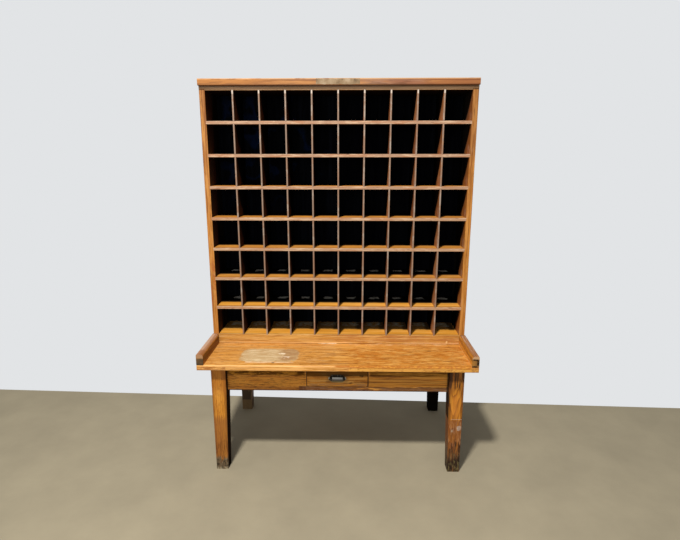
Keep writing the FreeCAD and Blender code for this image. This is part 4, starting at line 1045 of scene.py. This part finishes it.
class SORTER_OT_stage(SorterOperator):
    """Floor, lights, backdrop and camera"""

    bl_idname = "sorter.stage"
    bl_label = "Set Stage"

    def execute(self, context):
        scene = context.scene
        look = scene.sorter_stage

        # The floor is 12 m wide and 7.5 m deep. It ends a little behind the object, at a slight angle.
        mesh = bpy.data.meshes.new("stage_floor")
        form = bmesh.new()
        turned = Matrix.Rotation(math.radians(-2.1), 4, "Z")
        moved = Matrix.Translation((0, -3.3, 0))
        half_size = Matrix.Diagonal((6, 3.755, 1, 1))
        bmesh.ops.create_grid(form, x_segments=1, y_segments=1, size=1.0,
                              matrix=turned @ moved @ half_size)
        form.to_mesh(mesh)
        form.free()
        floor = bpy.data.objects.new("stage_floor", mesh)
        scene.collection.objects.link(floor)
        # Sealed concrete: pale and matt, faintly clouded
        material, tree, shader = new_material("sealed_concrete_floor")
        place = add(tree, "TexCoord", out="Object")
        cloud = add(tree, "TexNoise", {"Vector": place, "Scale": 3.0, "Detail": 7.0, "Roughness": 0.6})
        base = Vector(look.floor_colour)
        colour = add(tree, "ValToRGB", (cloud,), stops=[(0.3, base * 0.9), (0.7, base * 1.08)])
        feed(shader, {"Base Color": colour, "Roughness": 0.8})
        mesh.materials.append(material)

        # Lamps: name, power, size and place, and the point that each shines at
        for name, power, width, height, stand, target in (
                ("high_lamp", look.lamp_power, 0.35, 0.35, (-0.73, -2.6, 4.6), (0.0, 0.0, 1.1)),
                ("wide_fill", look.fill_power, 3.0, 2.0, (-0.9, -5.2, 1.9), (0.0, 0.0, 0.9))):
            lamp = bpy.data.lights.new(name, "AREA")
            lamp.shape = "RECTANGLE"
            lamp.size, lamp.size_y = width, height
            lamp.energy = power
            holder = bpy.data.objects.new(name, lamp)
            holder.location = stand
            holder.rotation_euler = (Vector(target) - Vector(stand)).to_track_quat("-Z", "Y").to_euler()
            scene.collection.objects.link(holder)

        # The camera sees a plain colour behind the object, while soft cool light comes from all round
        world = bpy.data.worlds.new("plain_backdrop")
        world.use_nodes = True
        tree = world.node_tree
        tree.nodes.clear()
        seen = add(tree, "LightPath", out="Is Camera Ray")
        light = add(tree, "Background", ((0.93, 0.96, 1.0, 1.0), look.room_light))
        shown = add(tree, "Background", ((*look.backdrop_colour, 1.0), 1.0))
        both = add(tree, "MixShader", (seen, light, shown))
        add(tree, "OutputWorld", {"Surface": both})
        scene.world = world
        scene.view_settings.view_transform = "Standard"

        camera = bpy.data.cameras.new("view_camera")
        camera.lens = look.lens
        camera.sensor_width = 36.0
        camera.shift_y = PIXEL
        holder = bpy.data.objects.new("view_camera", camera)
        holder.location = EYE
        holder.rotation_euler = (math.radians(90 - LOOKS_DOWN), 0.0, math.radians(TURNS_LEFT))
        scene.collection.objects.link(holder)
        scene.camera = holder
        return {"FINISHED"}


OPERATORS = (SORTER_OT_table_top, SORTER_OT_table_frame, SORTER_OT_drawer, SORTER_OT_case,
             SORTER_OT_pigeonholes, SORTER_OT_back, SORTER_OT_hardware, SORTER_OT_label, SORTER_OT_stage)


class SORTER_PT_panel(bpy.types.Panel):
    """Finishes and stage of the mail sorter"""

    bl_idname = "SORTER_PT_panel"
    bl_label = "Mail Sorter"
    bl_space_type = "VIEW_3D"
    bl_region_type = "UI"
    bl_category = "Mail Sorter"

    def draw(self, context):
        for operator in OPERATORS:
            self.layout.operator(operator.bl_idname)
        for name in SETTINGS:
            box = self.layout.box()
            group = getattr(context.scene, name)
            for key in group.bl_rna.properties.keys():
                if key not in ("rna_type", "name"):
                    box.prop(group, key)


def register():
    for name, settings in SETTINGS.items():
        bpy.utils.register_class(settings)
        setattr(bpy.types.Scene, name, bpy.props.PointerProperty(type=settings))
    for part in (*OPERATORS, SORTER_PT_panel):
        bpy.utils.register_class(part)


def unregister():
    for part in reversed((*OPERATORS, SORTER_PT_panel)):
        bpy.utils.unregister_class(part)
    for name, settings in SETTINGS.items():
        delattr(bpy.types.Scene, name)
        bpy.utils.unregister_class(settings)


def main():
    register()
    for operator in OPERATORS:
        group, name = operator.bl_idname.split(".")
        getattr(getattr(bpy.ops, group), name)()


if __name__ == "__main__":
    main()
